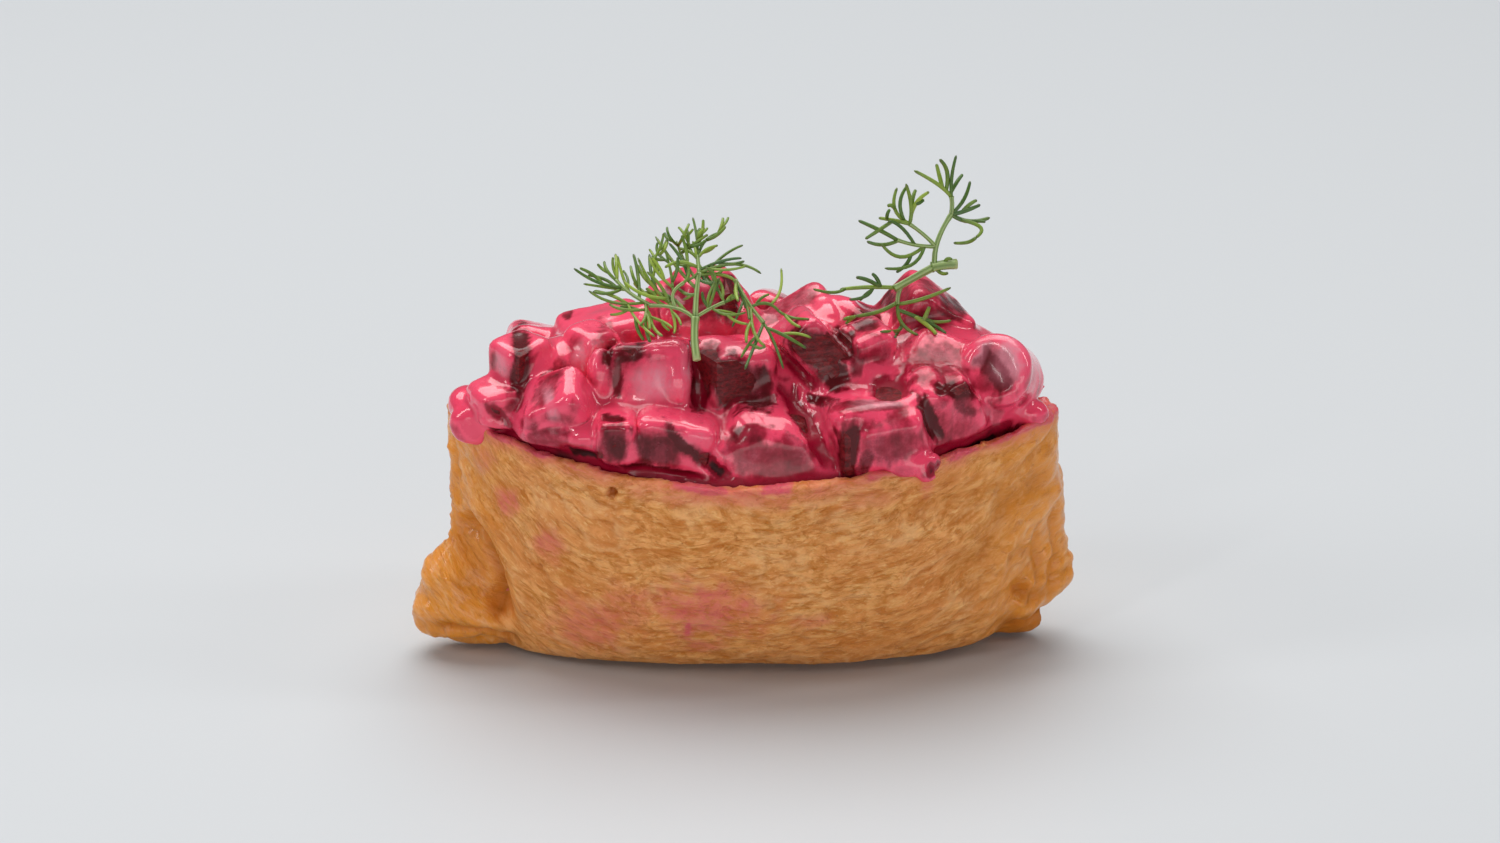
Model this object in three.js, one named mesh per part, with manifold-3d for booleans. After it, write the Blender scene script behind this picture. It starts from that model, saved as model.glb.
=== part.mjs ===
// Inari sushi: a boat of fried tofu skin, opened along its top and heaped with diced beetroot
// in thick dressing, with three sprigs of dill laid on the heap.
// Millimetres, +Z up. X runs along the boat and -Y is its front. The origin is the middle of
// the box round the whole thing, at the level it stands on.
import * as THREE from "three";
import { ConvexGeometry } from "three/addons/geometries/ConvexGeometry.js";
import { mergeVertices } from "three/addons/utils/BufferGeometryUtils.js";
import Module from "manifold-3d";

const wasm = await Module();
wasm.setup();

// ---- Driving dimensions ----------------------------------------------------------------
const CLEAR = 0.3; // gap kept between neighbouring solids
const FINEST = 0.04; // detail finer than this is merged away after solids are joined
const BOAT = {
  rimMiddle: 1, // x half way along the rim
  rimLength: 73.6,
  rimWidth: 39,
  footMiddle: -1,
  footLength: 54,
  footWidth: 14,
  rimFront: 28, // height of the rim half way along
  rimEnds: 31.2, // height of the rim at the two pointed ends
  rimWave: 0.5, // how much the rim rises and dips on its way round
  flare: 0.7, // how early the ends reach out: 1 is as slow as the sides
  wall: 1.7,
  floor: 2.4,
  stand: 0.35, // the foot clears the table by this, round the flat spot that it rests on
  rimShape: 1.8, // exponent of the outline: 2 is an ellipse, less is more like an eye
  footShape: 2.4,
};
const HEAP = { length: 62, width: 30, height: 23, level: 27 }; // the mound under the dice
const OVERHANG = { down: 1.4, out: 4 }; // how far the heap may hang over the rim's outside
const CHAMFER = 1.1; // corner taken off each beetroot die
const FILLED = 0.8; // how far below the rim the dressing stands where no die covers it
const DILL = { axis: 0.42, needle: 0.3, tip: 0.13, clear: 0.45 };

// ---- Solids ----------------------------------------------------------------------------
function solidOf(geometry) {
  const bare = new THREE.BufferGeometry();
  bare.setAttribute("position", geometry.getAttribute("position").clone());
  if (geometry.index) bare.setIndex(geometry.index.clone());
  const merged = mergeVertices(bare, 1e-3);
  const corners = merged.index.array;
  const kept = [];
  for (let i = 0; i < corners.length; i += 3) {
    const [a, b, c] = [corners[i], corners[i + 1], corners[i + 2]];
    if (a !== b && b !== c && a !== c) kept.push(a, b, c);
  }
  return new wasm.Manifold(
    new wasm.Mesh({
      numProp: 3,
      vertProperties: new Float32Array(merged.getAttribute("position").array),
      triVerts: new Uint32Array(kept),
    }),
  );
}

function geometryOf(solid) {
  const mesh = solid.getMesh();
  const geometry = new THREE.BufferGeometry();
  geometry.setAttribute("position", new THREE.BufferAttribute(mesh.vertProperties, 3));
  geometry.setIndex(new THREE.BufferAttribute(mesh.triVerts, 1));
  geometry.computeVertexNormals();
  return geometry;
}

const fuse = (solids) => solids.reduce((whole, next) => whole.add(next));

// The largest body of a fused solid: a scrap that touches nothing is dropped.
function largest(solid) {
  return solid.decompose().reduce((a, b) => (a.volume() > b.volume() ? a : b));
}

// Moves every corner of a geometry by a rule.
function reshape(geometry, rule) {
  const position = geometry.getAttribute("position");
  const point = new THREE.Vector3();
  for (let i = 0; i < position.count; i++) {
    point.fromBufferAttribute(position, i);
    rule(point);
    position.setXYZ(i, point.x, point.y, point.z);
  }
  return geometry;
}

// ---- The boat of fried tofu --------------------------------------------------------------
const rimHeight = (turn) =>
  THREE.MathUtils.lerp(BOAT.rimFront, BOAT.rimEnds, Math.cos(turn) ** 2) -
  BOAT.rimWave * Math.sin(turn * 3 + 0.6);

const rounded = (value, power) => Math.sign(value) * Math.abs(value) ** power;

// A point of the boat's wall: turn goes round it, climb is 0 at the foot and a quarter turn at
// the rim, and inset moves the wall inwards.
function wallPoint(turn, climb, inset, bottom, lip) {
  const { lerp } = THREE.MathUtils;
  const widening = Math.sin(climb);
  const halfLength = lerp(BOAT.footLength, BOAT.rimLength, widening ** BOAT.flare) / 2 - inset;
  const halfWidth = lerp(BOAT.footWidth, BOAT.rimWidth, widening) / 2 - inset;
  const power = 2 / lerp(BOAT.footShape, BOAT.rimShape, widening);
  return new THREE.Vector3(
    lerp(BOAT.footMiddle, BOAT.rimMiddle, widening) + halfLength * rounded(Math.cos(turn), power),
    halfWidth * rounded(Math.sin(turn), power),
    lerp(bottom, rimHeight(turn) + lip, 1 - Math.cos(climb)),
  );
}

// The boat as a closed solid, inset by a distance all round, from a floor up to its lip, and
// carried straight up by a further rise. It is a lathe of radius 1 whose height is the climb.
function boatSolid({ inset, bottom, lip, rise = 0, around = 56, steps = 8 }) {
  const rim = Math.PI / 2;
  const top = rise ? rim + 1 : rim;
  const profile = [new THREE.Vector2(0, 0)];
  for (let i = 0; i <= steps; i++) profile.push(new THREE.Vector2(1, (i / steps) * rim));
  if (rise) profile.push(new THREE.Vector2(1, top));
  profile.push(new THREE.Vector2(0, top));
  const shell = reshape(new THREE.LatheGeometry(profile, around), (p) => {
    const onAxis = Math.hypot(p.x, p.z) < 0.5;
    const lift = p.y > rim + 0.5 ? rise : 0;
    if (onAxis) p.set(0, 0, p.y > rim - 0.5 ? BOAT.rimFront + lip : bottom);
    else p.copy(wallPoint(Math.atan2(p.z, p.x), Math.min(p.y, rim), inset, bottom, lip));
    p.z += lift;
  });
  return solidOf(turnedInsideOut(shell));
}

// The reshaping above swaps the lathe's inside and outside, so each triangle is turned round.
function turnedInsideOut(geometry) {
  const corners = geometry.index.array;
  for (let i = 0; i < corners.length; i += 3)
    [corners[i], corners[i + 1]] = [corners[i + 1], corners[i]];
  return geometry;
}

// A soft fold of the skin: the smooth hull round a few balls, each [x, y, z, radius].
function fold(balls) {
  const points = [];
  for (const [x, y, z, radius] of balls) {
    const ball = new THREE.IcosahedronGeometry(radius, 1).getAttribute("position");
    for (let i = 0; i < ball.count; i++)
      points.push(new THREE.Vector3(ball.getX(i) + x, ball.getY(i) + y, ball.getZ(i) + z));
  }
  return solidOf(new ConvexGeometry(points));
}

const FOLDS = [
  // left ear: the corner of the bag, pressed out on to the table
  [[-34, -2.5, 14.2, 1.9], [-37.1, -2.8, 4.8, 3.1], [-30, -5.4, 5.4, 2.8], [-33, 2, 8, 3]],
  // the seam that runs from the left ear up to the rim
  [[-34.5, -1.5, 26.5, 1.2], [-34, -2.6, 14, 1.9], [-29, 2, 6, 2.5]],
  // the turned-in hem under the left ear
  [[-35.6, -1.6, 2.7, 2.3], [-31, -2.2, 2.3, 1.9], [-27, -0.6, 2.6, 2.2]],
  // right ear, pinched and lifted off the table
  [[37.7, 2.2, 8, 2.45], [36.2, 1.6, 17, 1.6], [36, 1, 26, 1.2], [33.4, -2.2, 7, 3.2], [31, 6, 8, 3]],
  // the hem tucked under the right end
  [[34.2, 1.8, 2.9, 2.5], [30, 1.2, 2.6, 2.2], [27, 4, 3, 2.6]],
];

// The flat spot on the table has three corners, so that the boat can't rock on it.
const RESTS_ON = [[-26, 0], [12, 6.2], [12, -6.2]];
const spot = solidOf(
  new ConvexGeometry(
    [0, BOAT.floor / 2].flatMap((z) => RESTS_ON.map(([x, y]) => new THREE.Vector3(x, y, z))),
  ),
);

const outer = boatSolid({ inset: 0, bottom: BOAT.stand, lip: 0 }).add(spot);
const hollow = boatSolid({ inset: BOAT.wall, bottom: BOAT.floor, lip: 0, rise: 24, steps: 5 });
const tofu = largest(fuse([outer, ...FOLDS.map(fold)]).subtract(hollow)).simplify(FINEST);

// ---- The beetroot dice and the heap they lie in --------------------------------------------
// A die with its corners taken off; lean narrows its top, so that 1 is a full block.
function die({ at, size, turn, lean = 1 }) {
  const points = [];
  for (const sx of [-1, 1])
    for (const sy of [-1, 1])
      for (const sz of [-1, 1]) {
        const narrow = sz > 0 ? lean : 1;
        const corner = [sx * size[0] * narrow, sy * size[1] * narrow, sz * size[2]].map((v) => v / 2);
        for (let axis = 0; axis < 3; axis++) {
          const point = [...corner];
          point[axis] -= Math.sign(point[axis]) * CHAMFER;
          points.push(new THREE.Vector3(...point));
        }
      }
  return placed(new ConvexGeometry(points), at, turn);
}

// A thick slice of a thin root: a drum with a soft edge.
function drum({ at, radius, length, edge, turn }) {
  const profile = [
    new THREE.Vector2(0, -length / 2),
    new THREE.Vector2(radius - edge, -length / 2),
    new THREE.Vector2(radius, edge - length / 2),
    new THREE.Vector2(radius, length / 2 - edge),
    new THREE.Vector2(radius - edge, length / 2),
    new THREE.Vector2(0, length / 2),
  ];
  const upright = new THREE.LatheGeometry(profile, 14).rotateX(Math.PI / 2);
  return placed(upright, at, turn);
}

function placed(geometry, at, turn) {
  const angles = turn.map(THREE.MathUtils.degToRad);
  geometry.applyMatrix4(new THREE.Matrix4().makeRotationFromEuler(new THREE.Euler(...angles, "ZYX")));
  geometry.translate(...at);
  return solidOf(geometry);
}

// Each piece: its middle, its size, and its turns about X, Y and Z in degrees.
const DICE = [
  // along the front rim, from left to right
  { at: [-29.2, -6.3, 32.2], size: [7.5, 7, 6.5], turn: [15, -20, 20] },
  { at: [-22, -10.6, 31.4], size: [10, 8, 8], turn: [20, 12, -14] },
  { at: [-14.4, -13.2, 31.2], size: [5, 8, 7.5], turn: [14, 4, 6] },
  { at: [-7.6, -12.8, 30.8], size: [9.5, 8, 7.5], turn: [16, 24, -8], lean: 0.85 },
  { at: [3.2, -13.2, 31], size: [14, 8, 8], turn: [22, 14, 4], lean: 0.7 },
  { at: [16, -12.8, 31.6], size: [10.5, 10, 9.5], turn: [10, -5, 8] },
  { at: [23, -9.8, 34], size: [8, 9, 12.5], turn: [16, -32, 24], lean: 0.8 },
  // the row behind them
  { at: [-25.9, -3.8, 34.8], size: [7, 9, 11.5], turn: [10, -10, 12] },
  { at: [-19.8, -2.4, 36], size: [8.5, 8.5, 9.5], turn: [6, 8, 42], lean: 0.85 },
  { at: [-10.3, -6.4, 35.2], size: [10.5, 9.5, 10], turn: [12, -4, 6] },
  { at: [-0.6, -5.4, 34.6], size: [10, 8, 9], turn: [20, 10, -20] },
  { at: [10.8, -4.4, 37], size: [11, 10, 9.5], turn: [14, 16, 36] },
  { at: [17.6, -5.4, 35.4], size: [8, 8, 8], turn: [30, 0, 30] },
  { at: [23.2, -2.2, 36.6], size: [9, 8, 8], turn: [20, 20, -18] },
  // the crest
  { at: [-25.2, 4, 33.2], size: [8.5, 9, 8], turn: [-12, -14, 30] },
  { at: [-17, 3.6, 38], size: [11, 9, 8], turn: [0, -14, 10] },
  { at: [-5, 5.6, 41], size: [12.5, 11, 11.5], turn: [6, 10, 24], lean: 0.8 },
  { at: [7, 4.2, 38.6], size: [10.5, 10, 8], turn: [8, -26, 10] },
  { at: [14.8, 3.8, 38.6], size: [7, 8, 8], turn: [0, 24, 40] },
  { at: [21.6, 4.6, 39.6], size: [9.6, 9.5, 10.4], turn: [8, 36, 16] },
  { at: [28.4, 3.4, 35.6], size: [7, 8, 7], turn: [0, 24, 20] },
];
const SLICE = { at: [30.4, -4.6, 35.6], radius: 5, length: 9.5, edge: 1.3, turn: [40, -12, -12] };

// The far side of the heap: dice of the same sizes, each turned a little further than the last.
const FAR = { count: 8, from: -25, step: 7.4, y: 12.2, level: 31.5, crown: 4.5 };
for (let i = 0; i < FAR.count; i++) {
  const x = FAR.from + FAR.step * i;
  const inwards = (x / 33) ** 2;
  DICE.push({
    at: [
      x,
      FAR.y * (1 - 0.42 * inwards),
      FAR.level + FAR.crown * (1 - inwards) * (i % 2 ? 0.55 : 1),
    ],
    size: [9 + Math.sin(i * 2.3), 8.5, 8.5 + Math.cos(i * 1.7)],
    turn: [-18 + 8 * Math.sin(i), 20 * Math.sin(i * 1.9 + 1), 25 * Math.sin(i * 2.7)],
  });
}

// Dressing fills the heap under and between the dice.
const mound = solidOf(
  new THREE.SphereGeometry(1, 22, 10)
    .rotateX(Math.PI / 2)
    .scale(HEAP.length / 2, HEAP.width / 2, HEAP.height / 2)
    .translate(BOAT.rimMiddle, 0, HEAP.level),
);
const inside = boatSolid({
  inset: BOAT.wall + CLEAR,
  bottom: BOAT.floor + CLEAR,
  lip: -FILLED,
  around: 36,
  steps: 5,
});
const keptOff = boatSolid({ inset: -CLEAR, bottom: -CLEAR, lip: CLEAR });
const below = boatSolid({ inset: -OVERHANG.out, bottom: -CLEAR, lip: -OVERHANG.down });
const piled = fuse([mound, ...DICE.map(die), drum(SLICE)]).subtract(keptOff).subtract(below);
const pit = boatSolid({ inset: BOAT.wall + CLEAR, bottom: BOAT.floor + CLEAR, lip: 0, rise: 3 });
const beetroot = largest(piled.add(inside).add(mound.intersect(pit))).simplify(FINEST);

// ---- Dill ----------------------------------------------------------------------------------
// A frond is a curved axis with needles on both sides. Axes and needles that would lie in the
// heap are lifted out of it, towards the front and up, until they rest on it.
const heapMesh = new THREE.Mesh(geometryOf(beetroot), new THREE.MeshBasicMaterial());
const OUTWARDS = new THREE.Vector3(0, -Math.cos(0.4), Math.sin(0.4));
const SIDEWAYS = new THREE.Vector3(1, 0, 0);
const FAR_OUT = 60;

function lifted(point, radius) {
  const reach = radius + DILL.clear;
  let furthest = -reach;
  for (const aside of [-reach, 0, reach]) {
    const start = point.clone().addScaledVector(OUTWARDS, FAR_OUT).addScaledVector(SIDEWAYS, aside);
    const caster = new THREE.Raycaster(start, OUTWARDS.clone().negate(), 0, FAR_OUT + reach);
    const [hit] = caster.intersectObject(heapMesh);
    if (hit) furthest = Math.max(furthest, FAR_OUT - hit.distance);
  }
  return point.clone().addScaledVector(OUTWARDS, furthest + reach);
}

// A tapering round shoot along a quadratic curve.
function shoot([from, via, to], startRadius, endRadius, sides, steps) {
  const curve = new THREE.QuadraticBezierCurve3(...[from, via, to].map((p) => new THREE.Vector3(...p)));
  const path = [];
  for (let i = 0; i <= steps; i++) {
    const radius = THREE.MathUtils.lerp(startRadius, endRadius, i / steps);
    path.push(lifted(curve.getPoint(i / steps), radius));
  }
  const line = new THREE.CatmullRomCurve3(path);
  const across = new THREE.Vector3();
  const over = new THREE.Vector3();
  const rod = reshape(new THREE.CylinderGeometry(endRadius, startRadius, 1, sides, steps), (p) => {
    const share = THREE.MathUtils.clamp(p.y + 0.5, 0, 1);
    const along = line.getTangent(share);
    across.crossVectors(along, OUTWARDS).normalize();
    over.crossVectors(across, along);
    const [sideways, outwards] = [p.x, p.z];
    p.copy(path[Math.round(share * steps)]);
    p.addScaledVector(across, sideways).addScaledVector(over, outwards);
  });
  return solidOf(rod);
}

// The needles of one frond: pairs of them, shorter and closer to the axis towards its tip.
function needles(course, { pairs, reach, spread }) {
  const axis = new THREE.QuadraticBezierCurve3(...course.map((p) => new THREE.Vector3(...p)));
  const made = [];
  for (let i = 0; i < pairs; i++)
    for (const side of [-1, 1]) {
      const share = THREE.MathUtils.lerp(0.3, 0.95, (i + (side > 0 ? 0.35 : 0)) / pairs);
      const base = axis.getPoint(share);
      const along = axis.getTangent(share);
      const across = new THREE.Vector3().crossVectors(along, OUTWARDS).normalize();
      const angle = THREE.MathUtils.degToRad(spread * (1.1 - 0.4 * share) + 7 * Math.sin(2.1 * i + side));
      const length = reach * (1.1 - 0.5 * share) * (1 + 0.18 * Math.sin(1.7 * i + 2 * side));
      const heading = new THREE.Vector3()
        .addScaledVector(along, Math.cos(angle))
        .addScaledVector(across, side * Math.sin(angle))
        .addScaledVector(OUTWARDS, 0.3 * Math.sin(2.9 * i + side))
        .normalize();
      const middle = base.clone().addScaledVector(heading, 0.55 * length);
      const end = base.clone().addScaledVector(heading, 0.85 * length).addScaledVector(along, 0.2 * length);
      made.push(shoot([base, middle, end].map((p) => p.toArray()), DILL.needle, DILL.tip, 3, 2));
    }
  return made;
}

// Each stem and frond runs from a point, by way of a second, to a third.
function sprig({ stems, fronds }) {
  const parts = stems.map(({ course, radii }) => shoot(course, ...radii, 6, 3));
  for (const frond of fronds) {
    parts.push(shoot(frond.course, DILL.axis, DILL.tip * 1.2, 4, 4));
    parts.push(...needles(frond.course, frond));
  }
  return largest(fuse(parts)).simplify(FINEST);
}

const LEFT = {
  stems: [
    { course: [[-5.4, -10, 40.6], [-5.6, -10.6, 43.3], [-6, -10, 45.8]], radii: [0.85, 0.7] },
    { course: [[-6, -10, 45.8], [-6, -8.5, 48], [-4.8, -5, 51]], radii: [0.6, 0.4] },
  ],
  fronds: [
    { course: [[-6, -10, 45.8], [-10, -9, 47.2], [-19.2, -6.5, 49.6]], pairs: 5, reach: 5, spread: 55 },
    { course: [[-6.4, -9.8, 46], [-8.2, -9, 48], [-14.8, -5, 51.6]], pairs: 4, reach: 4.6, spread: 45 },
    { course: [[-6, -9.4, 46.6], [-8, -7, 49.5], [-11, -3, 54]], pairs: 4, reach: 4.2, spread: 40 },
    { course: [[-5.8, -8, 48], [-7, -5, 50.5], [-6.4, -1, 55.6]], pairs: 4, reach: 4.2, spread: 42 },
    { course: [[-5.2, -6, 50.2], [-4.6, -4, 52], [-2.4, -1, 55.6]], pairs: 3, reach: 3.6, spread: 40 },
    { course: [[-5.4, -7, 49.4], [-3, -5, 51], [1.8, -2, 51.6]], pairs: 4, reach: 3.6, spread: 40 },
    { course: [[-6, -10, 45.9], [-3.4, -9, 47], [1.2, -7, 48.4]], pairs: 3, reach: 3.4, spread: 45 },
    { course: [[-8, -9.6, 46.6], [-10, -9, 45.4], [-13.4, -9, 43.4]], pairs: 2, reach: 3, spread: 35 },
  ],
};
const MIDDLE = {
  stems: [{ course: [[-0.6, -0.6, 49.1], [0.2, -4.6, 46.9], [2.7, -8.6, 43.7]], radii: [0.3, 0.42] }],
  fronds: [
    { course: [[2.2, -8.2, 44.1], [1.8, -9.6, 42.1], [0.3, -10.6, 39.9]], pairs: 1, reach: 3, spread: 45 },
    { course: [[2.4, -8.4, 43.9], [3, -9.6, 41.9], [4.3, -10.6, 39.8]], pairs: 0 },
    { course: [[2.2, -8, 44.3], [4, -9.6, 42.9], [7.4, -10.6, 41.4]], pairs: 0 },
    { course: [[1.2, -5.6, 46.1], [4, -6.6, 45.5], [7.6, -6.6, 44.1]], pairs: 1, reach: 2.6, spread: 30 },
    { course: [[1.3, -5.8, 45.9], [3.6, -3.6, 46.5], [4, -3.6, 49.5]], pairs: 0 },
  ],
};
const RIGHT = {
  stems: [
    { course: [[25.6, 1, 48.3], [23.6, 0.5, 48.2], [21.4, 0, 47.4]], radii: [1.05, 0.75] },
    { course: [[21.8, 0, 47.7], [20.4, -0.4, 46.6], [19.1, -1, 45]], radii: [0.75, 0.55] },
    { course: [[22.9, 0.3, 48], [22, 1, 50.6], [25.3, 2, 54.4]], radii: [0.6, 0.42] },
  ],
  fronds: [
    { course: [[19.1, -1, 45], [15.1, -2, 45.8], [11.1, -3, 46]], pairs: 3, reach: 3.4, spread: 35 },
    { course: [[19.1, -1, 45], [18.4, -2, 43], [11.5, -4, 42.6]], pairs: 1, reach: 2, spread: 30 },
    { course: [[18.3, -1.8, 43.6], [20, -2.6, 43.4], [23.5, -1.8, 45.2]], pairs: 0 },
    { course: [[18.8, -1.2, 44.6], [17.6, -3, 41.4], [24, -3, 40.4]], pairs: 3, reach: 3.6, spread: 45 },
    { course: [[25, 1.9, 54], [24, 2, 56.5], [25.2, 3, 59.8]], pairs: 3, reach: 4.4, spread: 42 },
    { course: [[24.8, 1.9, 53.6], [27, 2.6, 54.4], [28.9, 3, 55.4]], pairs: 0 },
    { course: [[24.8, 1.9, 53.6], [27, 2, 54], [29.3, 3, 53.6]], pairs: 0 },
    { course: [[24.8, 1.9, 53.6], [30.4, 3, 52.4], [25.4, 2, 51]], pairs: 0 },
    { course: [[22.6, 0.7, 50.3], [20.2, 1, 52.6], [18.9, 1.5, 57.6]], pairs: 2, reach: 4.4, spread: 42 },
    { course: [[22.6, 0.7, 50.3], [18, 0, 51], [13.2, -1, 54.2]], pairs: 2, reach: 4, spread: 32 },
    { course: [[22.6, 0.7, 50.2], [19, 0, 50.4], [16.2, -1.5, 48.7]], pairs: 1, reach: 4, spread: 35 },
  ],
};

// ---- The whole -----------------------------------------------------------------------------
const MATERIALS = {
  tofu: new THREE.MeshStandardMaterial({ color: 0xc98a45, roughness: 0.6, metalness: 0 }),
  dressing: new THREE.MeshStandardMaterial({ color: 0xd2345c, roughness: 0.25, metalness: 0 }),
  dill: new THREE.MeshStandardMaterial({ color: 0x5f8a45, roughness: 0.5, metalness: 0 }),
};

const inari = new THREE.Group();
inari.name = "inari_sushi";
const add = (name, solid, material) => {
  const mesh = new THREE.Mesh(geometryOf(solid), MATERIALS[material]);
  mesh.name = name;
  inari.add(mesh);
};
add("tofu_boat", tofu, "tofu");
add("beetroot_heap", beetroot, "dressing");
add("dill_left", sprig(LEFT), "dill");
add("dill_middle", sprig(MIDDLE), "dill");
add("dill_right", sprig(RIGHT), "dill");

export default inari;
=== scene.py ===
import math
import random
from itertools import product

import bmesh
import bpy
import numpy as np
from mathutils import Euler, Matrix, Vector, noise
from mathutils.bvhtree import BVHTree


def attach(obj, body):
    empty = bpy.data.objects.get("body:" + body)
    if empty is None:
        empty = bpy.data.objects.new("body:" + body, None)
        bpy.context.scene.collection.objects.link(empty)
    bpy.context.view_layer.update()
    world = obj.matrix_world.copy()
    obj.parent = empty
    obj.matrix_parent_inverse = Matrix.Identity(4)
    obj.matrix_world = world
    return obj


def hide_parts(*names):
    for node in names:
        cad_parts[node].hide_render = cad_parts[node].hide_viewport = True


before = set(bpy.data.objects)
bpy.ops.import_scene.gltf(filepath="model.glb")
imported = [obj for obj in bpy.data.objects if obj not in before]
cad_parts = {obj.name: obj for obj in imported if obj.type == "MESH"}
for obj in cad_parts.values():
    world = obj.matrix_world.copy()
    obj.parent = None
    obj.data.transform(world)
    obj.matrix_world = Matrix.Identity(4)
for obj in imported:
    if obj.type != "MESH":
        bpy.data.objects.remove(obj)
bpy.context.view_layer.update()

# ---- The view --------------------------------------------------------------------------------
# A long lens half a metre away looks a little down on the piece, which nearly fills the frame.
# Everything here is in metres, and the pieces below are shaped in millimetres.
MM = 0.001
LOOK_AT = Vector((0.0006, 0, 0.0288))
DISTANCE = 0.504
ELEVATION = math.radians(21)

scene = bpy.context.scene
lens = bpy.data.cameras.new("view")
lens.lens = 100
lens.sensor_width = 36
lens.clip_start = 0.01
camera = bpy.data.objects.new("view", lens)
scene.collection.objects.link(camera)
back = Vector((0, -math.cos(ELEVATION), math.sin(ELEVATION)))
camera.location = LOOK_AT + back * DISTANCE
camera.rotation_euler = (-back).to_track_quat("-Z", "Y").to_euler()
scene.camera = camera
scene.view_settings.view_transform = "Standard"

# ---- The boat of fried tofu ------------------------------------------------------------------
# A bag of thin fried tofu, simmered and pressed, with its mouth opened into a boat. The skin is
# fibrous and pitted along its length, and folds into an ear and a turned-in hem at each end.
SKIN_VOXEL = 0.405
SKIN_ROUNDS = {"below": 26, "rounds": 9}  # how often the skin is smoothed, and below what height
RIM = {  # "front" and "ends" are its heights there, and a larger "shape" is squarer
    "middle": 1, "length": 73.6, "width": 39, "front": 28, "ends": 31.2, "shape": 1.8,
}
FIBRES_TURN_UP = {  # where the fibres start to bend upwards at each end, and how strongly
    "left_of": -12, "left": 0.028, "right_of": 8, "right": 0.0114,
}
CREASES = [  # points along each, half its width, and its depth: a ridge has a depth below 0
    # between the left ear and the front wall
    ([(-33.4, -5.4, 17.4), (-31.8, -6.9, 15.8), (-30.8, -7.5, 13.6), (-30.2, -7.7, 10.8),
      (-29.8, -7.2, 7.6)], 1.5, 2.3),
    ([(-35, -4, 15.4), (-33, -6, 12.6), (-32.2, -6.6, 9.6)], 1.8, 0.6),
    # the edge of the front wall over it
    ([(-32.1, -7, 20.7), (-29.7, -9, 18.1), (-28.4, -9.6, 14.7), (-27.4, -9.8, 11.5),
      (-26.6, -9.6, 8.4)], 1.1, -0.55),
    # the turned-in fold under the left ear
    ([(-38.5, -4.5, 4.4), (-35, -6.4, 4.2), (-31.5, -7, 3.8), (-28.5, -6.4, 2.8)], 0.8, 1.1),
    # the lip over that fold
    ([(-39, -4.6, 6.3), (-35, -6.8, 6.1), (-31, -8.4, 5.6), (-27, -8.6, 4.4)], 1.1, -0.5),
    # steps where the left end is pulled down towards the ear
    ([(-33, -7, 25), (-30, -9.2, 21.5), (-27.2, -10.8, 17.5), (-24.8, -12, 14)], 0.8, 0.35),
    ([(-30, -9.6, 25.6), (-26.8, -11.8, 21.6), (-23.6, -13.2, 17.8), (-20, -14.4, 15)], 0.9, 0.3),
    ([(-26.4, -12.2, 24.6), (-22.4, -14, 21.2), (-18, -15.6, 18.6)], 0.9, 0.22),
    # the strip of the side seam
    ([(-35.2, -2.6, 28), (-34.6, -3.4, 24), (-34.2, -3.6, 20)], 0.7, 0.5),
    # the front wall drawn up to the right corner, and the hollow below it
    ([(18, -16.2, 23.2), (26.7, -12.7, 24.4), (30.6, -10.2, 24.6), (33.8, -7.5, 26),
      (37.2, -2.5, 29.2)], 1.1, 0.5),
    ([(21.8, -15.1, 26.4), (30.3, -10.5, 26.7), (34.3, -7, 28.1), (36.6, -4, 30.3)], 1.2, -0.3),
    ([(25.7, -12.1, 14.7), (28.7, -10.5, 15.6), (30.5, -9.7, 18.6), (31.4, -9.3, 21.7),
      (35, -5.9, 23)], 2.1, 0.7),
    ([(30.7, -8.3, 12.2), (32.5, -7.6, 15.8), (35.2, -4.9, 17.9), (37, -1.7, 20.6)], 1.3, -0.45),
    ([(20, -15, 14), (24, -13, 13.4), (29, -9.4, 11.4)], 1, 0.4),
    # wrinkles and a strip at the right corner
    ([(32.2, -7.5, 13.8), (33.4, -6, 14.4), (34.6, -4.7, 13.7)], 0.7, 0.5),
    ([(35.6, -4.4, 16.4), (35.9, -3.4, 12), (35.4, -4.2, 7)], 0.7, 0.65),
    ([(37.3, -1.2, 17), (37.9, -1, 11.6), (37.3, -1.8, 6.8)], 0.7, 0.6),
    ([(28, -10.4, 8.6), (31, -8, 8), (33.6, -5.4, 8.6)], 1, 0.45),
    ([(33.6, -5, 8.8), (35.4, -4.4, 7.4), (37, -3.4, 7.8)], 1.1, 0.9),
    ([(37.6, -1.6, 8.8), (39, 0.6, 9.4)], 0.7, 0.5),
]
SWELLS = [  # middle, reach, and how far the skin stands out there
    ((-38, -3, 10), 4.5, 1.7),
    ((-35.6, -4.6, 7.4), 2.2, 0.5),
    ((-36.6, -3.4, 14.4), 2.4, 0.5),
    ((38, 0, 20), 5, 1.1),
    ((39, 0, 9), 2.6, 0.9),
]
PORES = [  # middle, radius and depth
    ((-15.7, -16.6, 26.2), 0.7, 1.1),
    ((-24.6, -12, 14.8), 0.32, 0.6),
    ((-10.9, -17.5, 22.2), 0.25, 0.5),
]
WAVES = [  # of the skin along its fibres: height, how far apart on X, Y and Z, and the noise's seed
    (0.24, (7, 7, 2.8), 2),
    (0.13, (2.8, 2.8, 1.2), 3),
    (0.06, (1.3, 1.3, 0.7), 5),
]
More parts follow.
